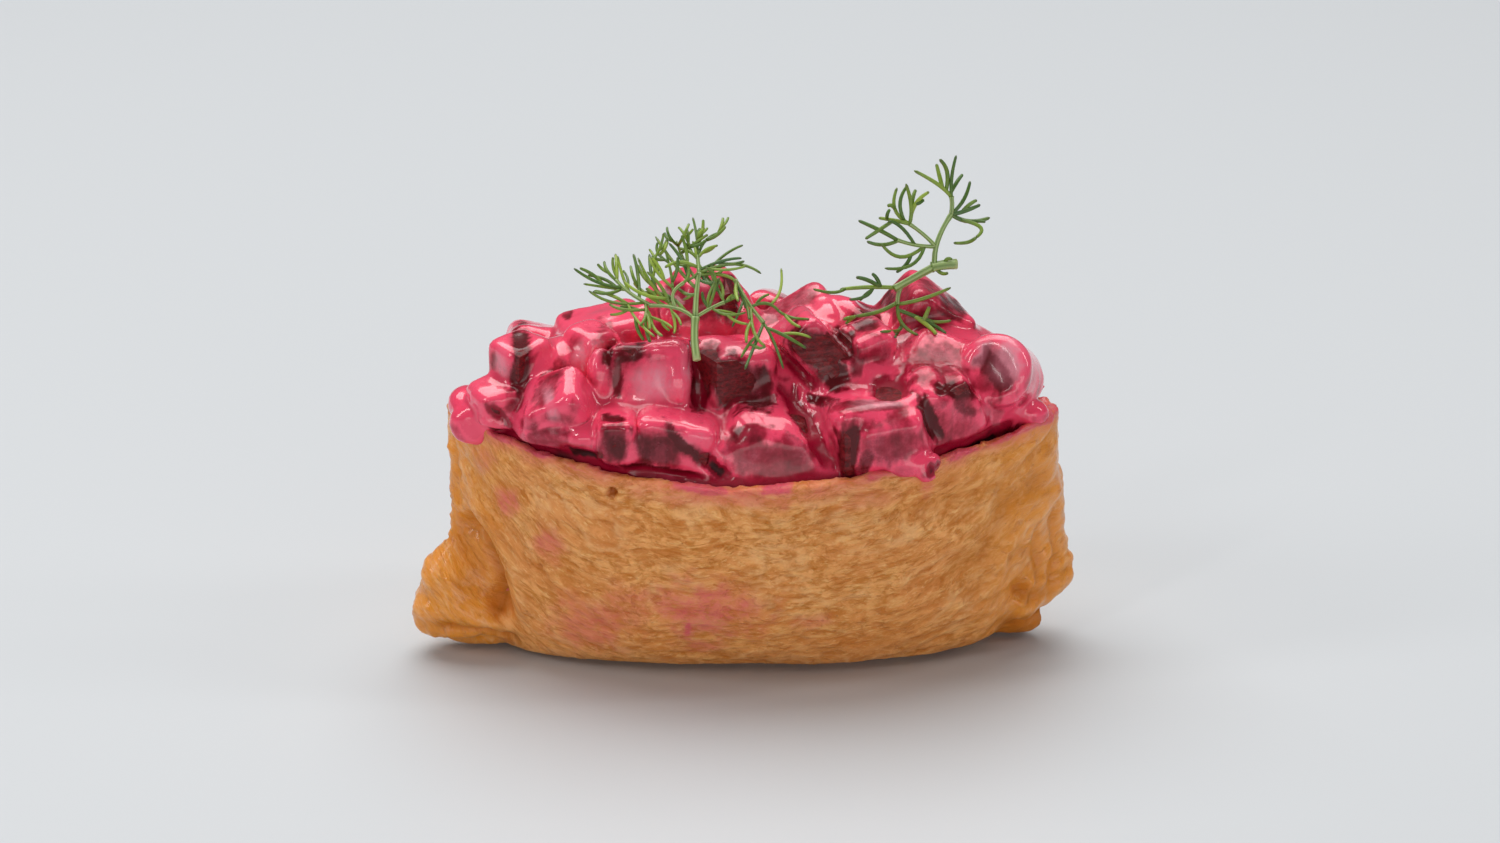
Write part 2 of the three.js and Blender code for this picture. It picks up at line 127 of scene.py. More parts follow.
STAINS = [  # where the dressing has coloured the skin: x, z, half width, half height, strength
    (-28.4, 22.6, 1.5, 2.2, 0.75),
    (-23.4, 18.2, 2.2, 2.6, 0.6),
    (-31.2, 27.2, 1.6, 2.2, 0.4),
    (-18.6, 7.6, 5.4, 4.8, 0.55),
    (-13.6, 10.4, 4, 4.4, 0.4),
    (-4.6, 11, 7.6, 5, 0.75),
    (-6.8, 8, 0.9, 2.6, 0.95),
    (-5.2, 5.2, 3, 1.4, 0.55),
    (-2, 26.4, 12, 1.6, 0.5),
    (21.4, 27.2, 1, 2.2, 0.6),
    (8, 9.4, 3, 1.4, 0.35),
    (14, 25.6, 4, 1.6, 0.3),
]


def merged_copy(node):
    """A CAD node's shape in millimetres, with its loose triangles joined."""
    shape = bmesh.new()
    shape.from_mesh(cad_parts[node].data)
    bmesh.ops.scale(shape, vec=(1 / MM,) * 3, verts=shape.verts)
    bmesh.ops.remove_doubles(shape, verts=shape.verts, dist=0.002)
    return shape


def piece_of(shape, name):
    """An object made of a shape, which is used up."""
    mesh = bpy.data.meshes.new(name)
    shape.to_mesh(mesh)
    shape.free()
    piece = bpy.data.objects.new(name, mesh)
    scene.collection.objects.link(piece)
    return piece


def evened(shape, voxel):
    """The same solid under a fine even skin, with what overlaps joined."""
    rough = piece_of(shape, "rough")
    remesh = rough.modifiers.new("even", "REMESH")
    remesh.mode = "VOXEL"
    remesh.voxel_size = voxel
    even = bmesh.new()
    even.from_object(rough, bpy.context.evaluated_depsgraph_get())
    bpy.data.objects.remove(rough)
    return even


def smoothed(shape, corners, rounds=1, factor=0.5):
    """Draws some corners of a shape towards the middle of their neighbours."""
    for _ in range(rounds):
        bmesh.ops.smooth_vert(shape, verts=corners, factor=factor,
                              use_axis_x=True, use_axis_y=True, use_axis_z=True)


def read(mesh):
    """The places and normals of a mesh's points, as arrays."""
    places = np.empty(len(mesh.vertices) * 3)
    mesh.vertices.foreach_get("co", places)
    normals = np.empty(len(mesh.vertices) * 3, np.float32)
    mesh.vertex_normals.foreach_get("vector", normals)
    return places.reshape(-1, 3), normals.reshape(-1, 3).astype(float)


def write(mesh, places):
    mesh.vertices.foreach_set("co", places.ravel())
    mesh.update()


def ripple(places, size, seed=0):
    """Smooth noise from -1 to 1 at each place. Its waves lie about size apart, the same way or as
    given for X, Y and Z, and each seed is another noise."""
    shift = Vector((seed, seed * 1.7, seed * 0.6))
    stretched = places / np.array(size)
    return np.array([noise.noise(Vector(p) + shift) for p in stretched])


def eased(values, low, high):
    share = np.clip((values - low) / (high - low), 0, 1)
    return share * share * (3 - 2 * share)


def far_from_line(places, points):
    """How far each place is from a line through points."""
    nearest = np.full(len(places), np.inf)
    for start, end in zip(points, points[1:]):
        start, way = np.array(start, float), np.subtract(end, start).astype(float)
        share = np.clip((places - start) @ way / (way @ way), 0, 1)
        nearest = np.minimum(nearest, np.linalg.norm(places - start - share[:, None] * way, axis=1))
    return nearest


def rim_height(turn):
    """How high the boat's rim is, a turn round from its right end."""
    wave = 0.5 * np.sin(3 * turn + 0.6)
    return RIM["front"] + (RIM["ends"] - RIM["front"]) * np.cos(turn) ** 2 - wave


def paint(mesh, **marks):
    """Gives each point of a mesh numbers, or vectors, that its material can read by name."""
    for name, values in marks.items():
        kind, field = ("FLOAT", "value") if values.ndim == 1 else ("FLOAT_VECTOR", "vector")
        layer = mesh.attributes.new(name, kind, "POINT")
        layer.data.foreach_set(field, values.astype(np.float32).ravel())


skin = evened(merged_copy("tofu_boat"), SKIN_VOXEL)
below_rim = [v for v in skin.verts if v.co.z < SKIN_ROUNDS["below"]]
smoothed(skin, below_rim, SKIN_ROUNDS["rounds"])
smoothed(skin, skin.verts)
boat = piece_of(skin, "tofu_skin")
at, out = read(boat.data)
x, y, z = at.T

left = np.maximum(0, FIBRES_TURN_UP["left_of"] - x)
right = np.maximum(0, x - FIBRES_TURN_UP["right_of"])
flow = np.column_stack([x, y, z - FIBRES_TURN_UP["left"] * left**2 - FIBRES_TURN_UP["right"] * right**2])
turn = np.arctan2(y / RIM["width"], (x - RIM["middle"]) / RIM["length"])
under_rim = rim_height(turn) - z
ends = eased(np.abs(x + 0.5), 25, 36)
ear = eased(np.abs(x - 1), 29, 33) * eased(-z, -16, -9)

bent = flow + 1.1 * np.column_stack([ripple(at, (7, 7, 5), seed) for seed in (14, 15, 16)])
patchy = 0.3 + 0.7 * eased(ripple(flow, (10, 10, 6), 4), -0.3, 0.3)
pits = eased(ripple(bent, (2.8, 2.8, 0.9)), 0.16, 0.42) * patchy
pits = np.maximum(pits, 0.6 * eased(ripple(bent, (1.5, 1.5, 0.6), 17), 0.25, 0.5) * patchy)
wrinkles = np.clip(1 - 4.5 * np.abs(ripple(bent, (3.8, 3.8, 1.2), 18)), 0, 1) ** 1.5
wrinkles *= eased(ripple(flow, (8, 8, 5), 19), -0.15, 0.25)
relief = 0.42 * ripple(at, (12, 12, 9), 1)
for height, size, seed in WAVES:
    relief += height * ripple(bent, size, seed)
relief += 0.15 * wrinkles - 0.18 * pits
relief += ear * 0.7 * ripple(at, (4.6, 4.6, 3.6), 6)
relief += ear * 0.32 * ripple(at, (2, 2, 1.7), 7)
relief += ends * 0.24 * ripple(bent, (2.2, 2.2, 1.6), 20)
for middle, reach, amount in SWELLS:
    relief += amount * np.exp(-((np.linalg.norm(at - middle, axis=1) / reach) ** 2))
inside = eased((at[:, :2] * -out[:, :2]).sum(1), 0, 8)
# Painted shade: a deeper amber laid into the skin's colour along the creases, where shade falls.
folded = np.zeros(len(at))
for points, half_width, depth in CREASES:
    distance = far_from_line(at, points) + 0.5 * ripple(at, 3, 8)
    near = np.exp(-((distance / half_width) ** 2))
    relief -= depth * near * (1 - 2 * inside)
    folded = np.maximum(folded, near * min(1, max(0, depth * 1.2 - 0.2)))
pore_mark = np.zeros(len(at))
for place, radius, depth in PORES:
    distance = np.linalg.norm(at - place, axis=1)
    relief -= depth * eased(-distance, -radius * 1.25, -radius * 0.55)
    pore_mark = np.maximum(pore_mark, eased(-distance, -radius * 1.1, -radius * 0.8))
# The tucked hem under the right end gets the same deeper amber: painted shade, where the skin also lies
# thicker.
folded = np.maximum(folded, eased(x, 29, 31.5) * eased(-z, -5.8, -4.6))
held_down = eased(z, 0.2, 2.2)
at = at + out * (relief * (0.25 + 0.75 * held_down))[:, None]
ragged = eased(-under_rim, -1.6, -0.2)
at[:, 2] += ragged * (0.22 * ripple(at, (2.6, 2.6, 4), 9) + 0.14 * ripple(at, (0.7, 0.7, 4), 10))
at[:, 2] = np.maximum(at[:, 2], 0)
write(boat.data, at)

stain = np.zeros(len(at))
for middle_x, middle_z, half_x, half_z, strength in STAINS:
    distance = np.hypot((x - middle_x) / half_x, (z - middle_z) / half_z)
    distance += 0.45 * ripple(at, 1.8, 11) + 0.25 * ripple(at, 0.8, 12)
    stain = np.maximum(stain, strength * eased(-distance, -1.25, -0.25) * (y < 0))
rim_stain = eased(-under_rim, -2.6, -0.1) * (0.55 + 0.6 * ripple(at, 3, 13))
rim_stain += eased(-under_rim, -0.8, -0.3) * eased(ripple(at, 5, 28), -0.25, 0.1) * 0.6
stain = np.clip(np.maximum(np.maximum(stain, rim_stain), inside * 0.8), 0, 1)
paint(boat.data, flow=bent, pits=pits, wrinkles=wrinkles, stain=stain, ends=np.maximum(ends, ear),
      pores=pore_mark, folds=folded)
boat.data.transform(Matrix.Scale(MM, 4))


class Value:
    """A number in a material. Sums written with it add the nodes that work them out."""

    def __init__(self, finish, socket):
        self.finish = finish
        self.socket = socket

    def worked(self, operation, first, second):
        return self.finish.node("ShaderNodeMath", {"operation": operation}, {0: first, 1: second})

    def __add__(self, other):
        return self.worked("ADD", self, other)

    def __radd__(self, other):
        return self.worked("ADD", other, self)

    def __sub__(self, other):
        return self.worked("SUBTRACT", self, other)

    def __rsub__(self, other):
        return self.worked("SUBTRACT", other, self)

    def __mul__(self, other):
        return self.worked("MULTIPLY", self, other)

    def __rmul__(self, other):
        return self.worked("MULTIPLY", other, self)


def tint(red, green, blue):
    """A colour given as it looks on a screen, each part from 0 to 255."""
    parts = [c / 255 for c in (red, green, blue)]
    return (*[p / 12.92 if p < 0.04045 else ((p + 0.055) / 1.055) ** 2.4 for p in parts], 1)


class Finish:
    """One material: a Principled shader and the nodes that feed it."""

    def __init__(self, name, **numbers):
        self.material = bpy.data.materials.new(name)
        self.material.use_nodes = True
        self.nodes = self.material.node_tree.nodes
        self.links = self.material.node_tree.links
        self.shader = self.nodes["Principled BSDF"]
        for socket, number in numbers.items():
            self.shader.inputs[socket.replace("_", " ")].default_value = number

    def set(self, socket, value):
        if isinstance(value, Value):
            self.links.new(value.socket, socket)
        else:
            socket.default_value = value

    def node(self, kind, settings, values, output=0):
        """A node with its settings, then the numbers, colours or links of its sockets."""
        node = self.nodes.new(kind)
        for name, setting in settings.items():
            setattr(node, name, setting)
        for key, value in values.items():
            named = [s for s in node.inputs if s.identifier == key]
            self.set(named[0] if named else node.inputs[key], value)
        return Value(self, node.outputs[output])

    def feed(self, socket, value):
        self.set(self.shader.inputs[socket], value)

    def attribute(self, name, output="Fac"):
        return self.node("ShaderNodeAttribute", {"attribute_name": name}, {}, output)

    def places(self):
        return self.node("ShaderNodeTexCoord", {}, {}, "Object")

    def noise(self, vector, size, detail=3, roughness=0.5, distortion=0):
        """Noise from 0 to 1, whose waves lie about size apart: the same way, or on X, Y and Z."""
        scale = tuple(1 / s for s in (size if isinstance(size, tuple) else (size,) * 3))
        stretched = self.node("ShaderNodeVectorMath", {"operation": "MULTIPLY"}, {0: vector, 1: scale})
        values = {"Vector": stretched, "Scale": 1, "Detail": detail, "Roughness": roughness,
                  "Distortion": distortion}
        return self.node("ShaderNodeTexNoise", {}, values)

    def eased(self, value, low, high):
        values = {"Value": value, "From Min": low, "From Max": high, "To Min": 0, "To Max": 1}
        return self.node("ShaderNodeMapRange", {"interpolation_type": "SMOOTHSTEP"}, values)

    def mixed(self, share, first, second):
        values = {"Factor_Float": share, "A_Color": first, "B_Color": second}
        return self.node("ShaderNodeMix", {"data_type": "RGBA"}, values, 2)

    def layered(self, colour, layers):
        """A colour with other colours laid over it in turn, each by its own share."""
        for share, over in layers:
            colour = self.mixed(share, colour, over)
        return colour

    def bumped(self, height, depth, distance):
        return self.node("ShaderNodeBump", {}, {"Height": height, "Strength": depth, "Distance": distance})


tofu = Finish("fried_tofu", Subsurface_Weight=0.2, Subsurface_Radius=(1.0, 0.45, 0.2),
              Subsurface_Scale=0.0014, Coat_Roughness=0.18, IOR=1.42)
flowing = tofu.attribute("flow", "Vector")
fibres = tofu.noise(flowing, (2.6, 2.6, 0.7), 6, 0.64, 0.5)
mottle = tofu.noise(flowing, (2, 2, 1.2), 6, 0.66, 0.6)
threads = tofu.noise(flowing, (0.8, 0.8, 0.26), 5, 0.68, 0.4)
clouds = tofu.noise(flowing, (12, 12, 8), 3, 0.6)
flecks = tofu.eased(tofu.noise(flowing, (1.9, 1.9, 0.75), 5, 0.64, 0.5), 0.53, 0.66)
specks = tofu.eased(tofu.noise(flowing, (0.5, 0.5, 0.28), 2, 0.5), 0.71, 0.78)
pitted = tofu.attribute("pits")
ending = tofu.attribute("ends")
creased = tofu.attribute("folds")
stained = tofu.attribute("stain")
skin_colour = tofu.mixed(tofu.eased(mottle, 0.37, 0.62), tint(200, 121, 36), tint(241, 170, 98))
skin_colour = tofu.layered(skin_colour, [
    (tofu.eased(clouds, 0.4, 0.62) * 0.6, tint(226, 142, 66)),
    (tofu.eased(fibres, 0.5, 0.7) * 0.55, tint(250, 192, 118)),
    (tofu.eased(threads, 0.52, 0.68) * 0.55, tint(252, 206, 138)),
    (flecks * 0.74, tint(204, 116, 20)),
    (pitted * 0.6, tint(198, 110, 16)),
    (tofu.attribute("wrinkles") * 0.45, tint(248, 196, 136)),
    (ending * tofu.eased(mottle, 0.7, 0.44) * 0.85, tint(236, 148, 26)),
    # painted shade in the creases and on the tucked hem
    (creased * 0.72, tint(186, 104, 16)),
    (specks * 0.5, tint(128, 70, 30)),
    (stained * tofu.eased(threads * 0.7 + mottle, 0.5, 1.0), tint(222, 92, 98)),
    (tofu.eased(stained, 0.7, 1.0) * 0.55, tint(218, 72, 104)),
    (tofu.attribute("pores"), tint(176, 90, 10)),
])
tofu.feed("Base Color", skin_colour)
tofu.feed("Roughness", 0.34 + threads * 0.3 + pitted * 0.1 - ending * 0.14 + creased * 0.3)
tofu.feed("Coat Weight", (0.25 * tofu.eased(clouds, 0.35, 0.65) + 0.45 * ending) * (1 - creased))
weave = mottle * 0.5 + threads * 0.5 + fibres * 0.4 - flecks * 0.5
tofu.feed("Normal", tofu.bumped(weave, 0.6, 0.0004))
boat.data.materials.append(tofu.material)
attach(boat, "root")
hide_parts("tofu_boat")


def shaded_smooth(piece):
    piece.data.polygons.foreach_set("use_smooth", [True] * len(piece.data.polygons))


shaded_smooth(boat)

# ---- The diced beetroot ----------------------------------------------------------------------
# Cooked beetroot cut by hand into rough dice and one thick slice of a thin root. They lie piled
# up over the rim, held by the dressing, and their cut faces show where it has run off.
DICE = [  # middle, size with its dressing, turns on X, Y and Z in degrees, and its top's share of its foot
    ((-29.2, -6.5, 33.7), (5.8, 6, 5.8), (15, -22, 20), 1),
    ((-21.4, -10.2, 34.4), (7.8, 7, 7.2), (30, -26, -24), 1),
    ((-15.3, -14, 32.6), (3.8, 6, 4.6), (4, 3, 4), 1),
    ((-8.1, -13, 31.7), (10, 7, 5.6), (8, 8, -6), 0.9),
    ((3, -12.4, 31.2), (15, 7.5, 7.2), (-4, 6, 2), 0.5),
    ((15, -11.4, 32.4), (11, 9, 8.2), (2, -4, 22), 1),
    ((23.8, -9, 33.7), (7.4, 7.4, 7.8), (0, -28, 20), 0.95),
    # the row behind them
    ((-26.7, -4.4, 36.1), (6.8, 6.8, 9.8), (4, -6, 42), 0.95),
    ((-18.5, -2.6, 37.4), (6.4, 6.4, 9.4), (2, 6, 44), 0.85),
    ((-11, -6.9, 37.5), (9, 8, 8), (-16, -7, -10), 1),
    ((-1.5, -6.2, 37), (9.4, 8.6, 7.6), (-4, 6, 30), 1),
    ((8.4, -5.4, 40), (8.6, 8, 5.4), (-12, 45, 6), 1),
    ((14.4, -4.2, 39), (5.6, 6.4, 7), (10, -6, 30), 1),
    ((22.9, -3.6, 37), (8, 7, 6.4), (20, 14, -18), 1),
    # the crest
    ((-25.2, 4, 32.6), (8.5, 9, 7.4), (-12, -14, 30), 1),
    ((-17.2, 4.4, 37.7), (9.6, 9, 6.6), (0, -8, 10), 1),
    ((-5.5, 5.2, 40.2), (11.4, 10, 9.4), (4, -14, 14), 0.85),
    ((7.4, 4.2, 38.8), (9, 9, 7), (8, -27, 10), 1),
    ((13.4, 3.8, 39.4), (6.6, 7.6, 7), (0, 24, 40), 1),
    ((21.9, 4.4, 40.5), (9.2, 8.6, 7.2), (4, 34, 12), 1),
    ((28.4, 3.2, 35.8), (5.6, 7, 6), (0, 24, 20), 1),
]
FAR = {  # the row along the far side: where it runs, and how it bends round and rises to its middle
    "count": 8, "from": -25, "step": 7.2, "half": 33, "y": 11.4, "curve": 0.62, "level": 31.5, "crown": 4.5,
}
for i in range(FAR["count"]):
    far_x = FAR["from"] + FAR["step"] * i
    inwards = (far_x / FAR["half"]) ** 2
    lift = FAR["crown"] * (1 - inwards) * (0.55 if i % 2 else 1)
    DICE.append((
        (far_x, FAR["y"] * (1 - FAR["curve"] * inwards), FAR["level"] + lift),
        (9 + math.sin(i * 2.3), 8.5, 8.5 + math.cos(i * 1.7)),
        (-18 + 8 * math.sin(i), 20 * math.sin(i * 1.9 + 1), 25 * math.sin(i * 2.7)),
        1,
    ))
SLICE = {"at": (30.5, -4.2, 36.3), "radius": 4.1, "length": 8.4, "edge": 0.9, "turn": (60, -14, -10)}
DIE_CUTS = 7
DIE_ROUNDS = 3  # how often its edges are rounded off
DIE_PULL = 0.6  # how far each corner is out of square
DIE_WAVES = {"height": 0.25, "size": 3.4}  # how uneven its faces are
DIE_NOISE = 1795522351  # the seed of that: without one, noise_vector differs from run to run
COAT = 0.6  # what the dressing adds to each size
draw = random.Random(5)
noise.seed_set(DIE_NOISE)


def set_down(shape, corners, turns, middle):
    """Turns and places the corners of a piece that was made at the origin."""
    turned = Euler([math.radians(t) for t in turns], "XYZ").to_matrix()
    for corner in corners:
        corner.co = turned @ corner.co + Vector(middle)


def cut_die(size, turns, middle, lean):
    die = bmesh.new()
    bmesh.ops.create_cube(die, size=1)
    bmesh.ops.subdivide_edges(die, edges=die.edges, cuts=DIE_CUTS, use_grid_fill=True)
    pulls = {
        signs: [draw.uniform(-DIE_PULL, DIE_PULL) for _ in range(3)] for signs in product((-1, 1), repeat=3)
    }
    for corner in die.verts:
        u, v, w = corner.co
        narrow = 1 + (lean - 1) * (w + 0.5)
        place = Vector((u * (size[0] - COAT) * narrow, v * (size[1] - COAT) * narrow, w * (size[2] - COAT)))
        for (i, j, k), pull in pulls.items():
            share = (0.5 + i * u) * (0.5 + j * v) * (0.5 + k * w)
            place += Vector(pull) * share
        waves = Vector(middle) + place / DIE_WAVES["size"]
        corner.co = place + noise.noise_vector(waves) * DIE_WAVES["height"]
    smoothed(die, die.verts, DIE_ROUNDS, 0.45)
    set_down(die, die.verts, turns, middle)
    return die


def add_to(whole, part):
    """Adds one shape to another. The part is used up."""
    passing = bpy.data.meshes.new("passing")
    part.to_mesh(passing)
    part.free()
    whole.from_mesh(passing)
    bpy.data.meshes.remove(passing)


beets = bmesh.new()
for middle, size, turns, lean in DICE:
    add_to(beets, cut_die(size, turns, middle, lean))
slice_shape = bmesh.new()
bmesh.ops.create_cone(slice_shape, cap_ends=True, segments=40, depth=SLICE["length"],
                      radius1=SLICE["radius"], radius2=SLICE["radius"])
rims = [e for e in slice_shape.edges if abs(e.verts[0].co.z - e.verts[1].co.z) < 0.1]
bmesh.ops.bevel(slice_shape, geom=rims, offset=SLICE["edge"], segments=4, profile=0.5,
                affect="EDGES", material=-1)
set_down(slice_shape, slice_shape.verts, SLICE["turn"], SLICE["at"])
add_to(beets, slice_shape)
bmesh.ops.triangulate(beets, faces=[f for f in beets.faces if len(f.verts) > 4])
beet_tree = BVHTree.FromBMesh(beets)
bare_dice = beets.copy()
dice = piece_of(beets, "beetroot_dice")
dice.data.transform(Matrix.Scale(MM, 4))

beet = Finish("cut_beetroot", Roughness=0.3, Coat_Roughness=0.12, Specular_IOR_Level=0.2)
cut = beet.places()
grain = beet.noise(cut, (0.0007, 0.0007, 0.0004), 5, 0.75)
streaks = beet.noise(cut, (0.006, 0.006, 0.0005), 3, 0.6)
beet_colour = beet.mixed(beet.eased(grain, 0.35, 0.7), tint(74, 9, 13), tint(134, 21, 30))
beet_colour = beet.mixed(beet.eased(streaks, 0.5, 0.75) * 0.5, beet_colour, tint(134, 40, 52))
beet.feed("Base Color", beet_colour)
beet.feed("Roughness", 0.3 + grain * 0.3)
beet.feed("Coat Weight", 0.4 * beet.eased(streaks, 0.3, 0.6))
beet.feed("Normal", beet.bumped(grain + streaks * 0.4, 0.6, 0.0003))
dice.data.materials.append(beet.material)
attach(dice, "root")
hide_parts("beetroot_heap")

# ---- The dressing ----------------------------------------------------------------------------
# Thick dressing, stained crimson by the beetroot. It coats the dice, thin on their cut faces and
# drawn into smooth webs between them, and runs down to the rim.
DRESSING_VOXEL = 0.304
CUT_LEVEL = 24  # the dressing ends here inside the boat, and the filling below takes over
CORE = {  # what lies between the dice: smoothed above "from", and drawn in, fully above "to"
    "voxel": 0.8, "rounds": 22, "inwards": 1.3, "from": 28, "to": 33,
}
WEBS = 36  # how far the dressing is drawn out between the dice: rounds of filling its hollows
LAYER = 0.34  # how thick the dressing lies on the dice
SOFTENED = 8  # rounds of light smoothing once it lies there
WALL = 1.7  # how thick the boat's wall is
BEYOND = 60  # further out than any piece reaches
ACROSS = Vector((1, 0, 0))
UPWARDS = back.cross(ACROSS)
THIN = [  # across, up, half length, half width, tilt, and how much of the dressing is gone
    # the tall die at the left
    (-27.7, 7.2, 3.9, 0.9, 88, 1),
    (-28.3, 2.4, 1.2, 1.1, 0, 0.6),
    # the die in front of it
    (-24, 4.3, 2.9, 1.1, 62, 0.52),
    (-25, -1.9, 2.7, 1, 8, 0.55),
    (-26.6, -0.3, 1, 0.8, 0, 0.5),
    # the die behind these
    (-20.6, 8.6, 2.3, 1.1, 80, 0.3),
    (-17.4, 8.6, 3, 1, 92, 0.5),
    (-17.2, 8, 1.1, 0.5, 80, 0.95),
    (-16, 5.4, 2.4, 0.5, 90, 0.8),
    # the wide die in the middle
    (-14.2, 8.2, 1.8, 0.8, 12, 0.95),
    (-12.1, 5, 3.6, 3.3, 0, 0.24),
    (-6.5, 5.3, 4.2, 0.6, 93, 0.95),
    # the dark die beside it
    (-5.8, 4.2, 2.9, 1.1, 80, 1),
    (-5, 7.2, 1.8, 1, 80, 0.7),
    (-1.9, 4.6, 2.2, 2.9, 14, 1.1),
    (0.8, 3.8, 1.8, 2.5, 14, 0.84),
    # the two small ones at the rim
    (-16.3, -2.6, 2.1, 1.2, 90, 0.85),
    (-16.6, 0.1, 1.3, 0.4, 0, 0.9),
    (-11.2, -3.3, 2.5, 1.8, 0, 0.74),
    (-8.3, -2.6, 2.8, 0.6, -42, 1),
    (-10.4, -6.1, 4.6, 0.5, -7, 0.95),
    # the long one
    (2.6, -4.7, 5.4, 2.3, -8, 0.52),
    (0.1, -1.6, 2.2, 0.9, 4, 0.66),
    (6, -3.2, 2.4, 0.7, -35, 0.55),
    # the large one right of the middle
    (8.7, 2.4, 1.8, 0.6, -14, 0.75),
    (14, 1.6, 4.1, 0.6, 2, 0.62),
    (11.9, -3.7, 3.7, 1, 88, 1.05),
    (16, -2.7, 2.9, 2.7, 0, 0.48),
    (18, -2, 1.7, 3, 0, 0.52),
    (14, -4.9, 1.6, 0.8, 60, 0.7),
    # the one with streaks
    (21.9, 0.2, 2.5, 0.8, -68, 1.05),
    (24.6, 3.7, 2.3, 0.8, -8, 1),
    (26, 1.5, 1.5, 0.6, -25, 0.7),
    (24.8, -0.8, 3.8, 3, 30, 0.3),
    (22.6, 6.6, 3.6, 2.3, -8, 0.5),
    (23, 7.8, 1.5, 0.5, 10, 0.5),
    # the slice
    (30.1, 6.4, 3.2, 2.7, 90, 0.45),
    (29.7, 6, 3, 1.3, -52, 0.8),
    # the bare one
    (8.1, 8.6, 3.2, 1.7, -32, 1.1),
    (9.7, 6.7, 2.9, 1.5, -62, 1.1),
    (11.1, 9.3, 1.7, 1.7, 0, 1),
    (12.8, 7.4, 2.7, 0.7, 92, 0.7),
    (14.9, 8.8, 1.7, 1.5, 0, 0.52),
    (13.8, 12, 1.6, 1.3, 0, 0.7),
    # along the crest
    (4.8, 14.1, 4.4, 1.3, 27, 0.5),
    (20, 14.1, 4.1, 2.7, -32, 0.52),
    (24.2, 13.6, 1.8, 1.1, -20, 0.8),
    (16.3, 14.7, 1.5, 1.1, 0, 0.75),
    (-2.4, 15.1, 2.3, 1.2, 75, 1),
    (-6.4, 14.5, 4.6, 2.2, 10, 0.55),
    (-21.8, 13.2, 1.1, 0.5, 70, 0.7),
    (-10.3, 11.1, 1.7, 1, 0, 0.4),
]
# Gaps between the dice and over the rim. Each is pushed in, and painted shade is laid into the dressing's
# colour there: deep crimson, near black where deepest.
HOLLOWS = [  # across, up, half length, half width, tilt and depth
    (6.8, -0.4, 6.4, 1.1, -61, 0.95),
    (17.3, 4.1, 2.4, 1.5, 10, 1.2),
    (6, 6, 3.1, 0.8, -42, 0.8),
    (-5, 7.6, 1.6, 1, 80, 0.8),
    (-29.9, 0.4, 1.9, 0.6, -45, 0.8),
    (-23, -3, 4.8, 0.6, -6, 0.5),
    (-3.6, 6, 1.2, 1.2, 0, 0.5),
    (14.3, 14.1, 1.7, 1.1, 0, 0.6),
    (-10.4, -6.6, 5.3, 0.5, -6, 0.5),
    (17.3, -5.9, 2.7, 0.6, 14, 0.3),
    # gaps over the rim
    (-20.1, -4.1, 2.4, 0.6, -10, 1.6),
    (-4.2, -5.6, 1.9, 0.8, -38, 1.5),
    (-4.6, -4.9, 1, 0.5, 70, 1.2),
    (26.8, -3.6, 5.8, 0.8, 24, 1.6),
    (11.9, -6.8, 1, 0.6, 0, 1.3),
]
MILKY = [  # the same, for painted highlights: where a pale pinkish white is laid into the film's colour, and how much
    (31.5, 7.6, 2.7, 2, 80, 1),
    (28, 8.2, 1.6, 0.7, 65, 1),
    (-11.6, 4.7, 2.2, 1.9, 20, 1),
    (-8.1, 6, 3.3, 0.4, 90, 1),
    (-19.6, 8.2, 1.6, 1.1, 60, 1),
    (15.6, 1.9, 2.6, 0.5, 3, 0.7),
    (15.2, 4.7, 0.9, 1.1, 0, 0.9),
    (-29.7, 7.4, 0.6, 1.9, 0, 0.8),
    (-23.9, 2, 0.6, 1.6, 12, 0.9),
    (-6.6, -1.8, 1.4, 0.6, 20, 0.5),
]
CREAM = [  # middle, reach, and how much thicker the dressing lies there
    ((-31, -7.6, 33.6), 3, 0.35),
    ((-28.6, -9.4, 36.6), 1.4, 0.3),
    ((-20.6, -12.6, 35), 2.4, 0.45),
    ((-19, -13, 32.4), 2.4, 0.4),
    ((-22, -7, 39.6), 2.4, 0.35),
    ((-7.2, -10.6, 38), 1.8, 0.45),
    ((-17.6, 3, 42), 3, 0.3),
    ((-3, -5, 40), 3, 0.4),
    ((2, -3.6, 39.8), 3.4, 0.4),
    ((1, -16.6, 34.8), 3, 0.35),
    ((9, -15, 33.6), 2.8, 0.35),
    ((17, -16, 36), 2.6, 0.3),
    ((20, -8, 38.6), 2.8, 0.4),
    ((12, 2.4, 43), 3.6, 0.3),
    ((31, -6, 34), 3.2, 0.3),
]
DRIPS = [  # middle and reach on X, Y and Z of drops at the rim, over it, and in a gap between dice
    ((19, -15.4, 29.4), (4.2, 1.6, 1.3)),
    ((21.3, -16.7, 28.6), (1, 0.7, 0.8)),
    ((35.6, 3.6, 31.8), (0.6, 0.6, 0.6)),
    ((-32.2, -6.5, 31), (2.8, 1.5, 2.2)),
    ((-33.4, -3.4, 32.4), (1.8, 3, 1.6)),
    ((-16.9, -8.6, 37.2), (1.5, 1.8, 4)),
    ((33.6, -4.6, 31.6), (2.4, 1.7, 1.5)),
]


def kept_part(shape, level, above):
    """The part of a closed shape above a level, or below it, closed again."""
    everything = [*shape.verts, *shape.edges, *shape.faces]
    cut = bmesh.ops.bisect_plane(shape, geom=everything, dist=0.0001, plane_co=(0, 0, level),
                                 plane_no=(0, 0, 1), clear_inner=above, clear_outer=not above)
    rim = [e for e in cut["geom_cut"] if isinstance(e, bmesh.types.BMEdge)]
    bmesh.ops.holes_fill(shape, edges=rim, sides=0)
    return shape


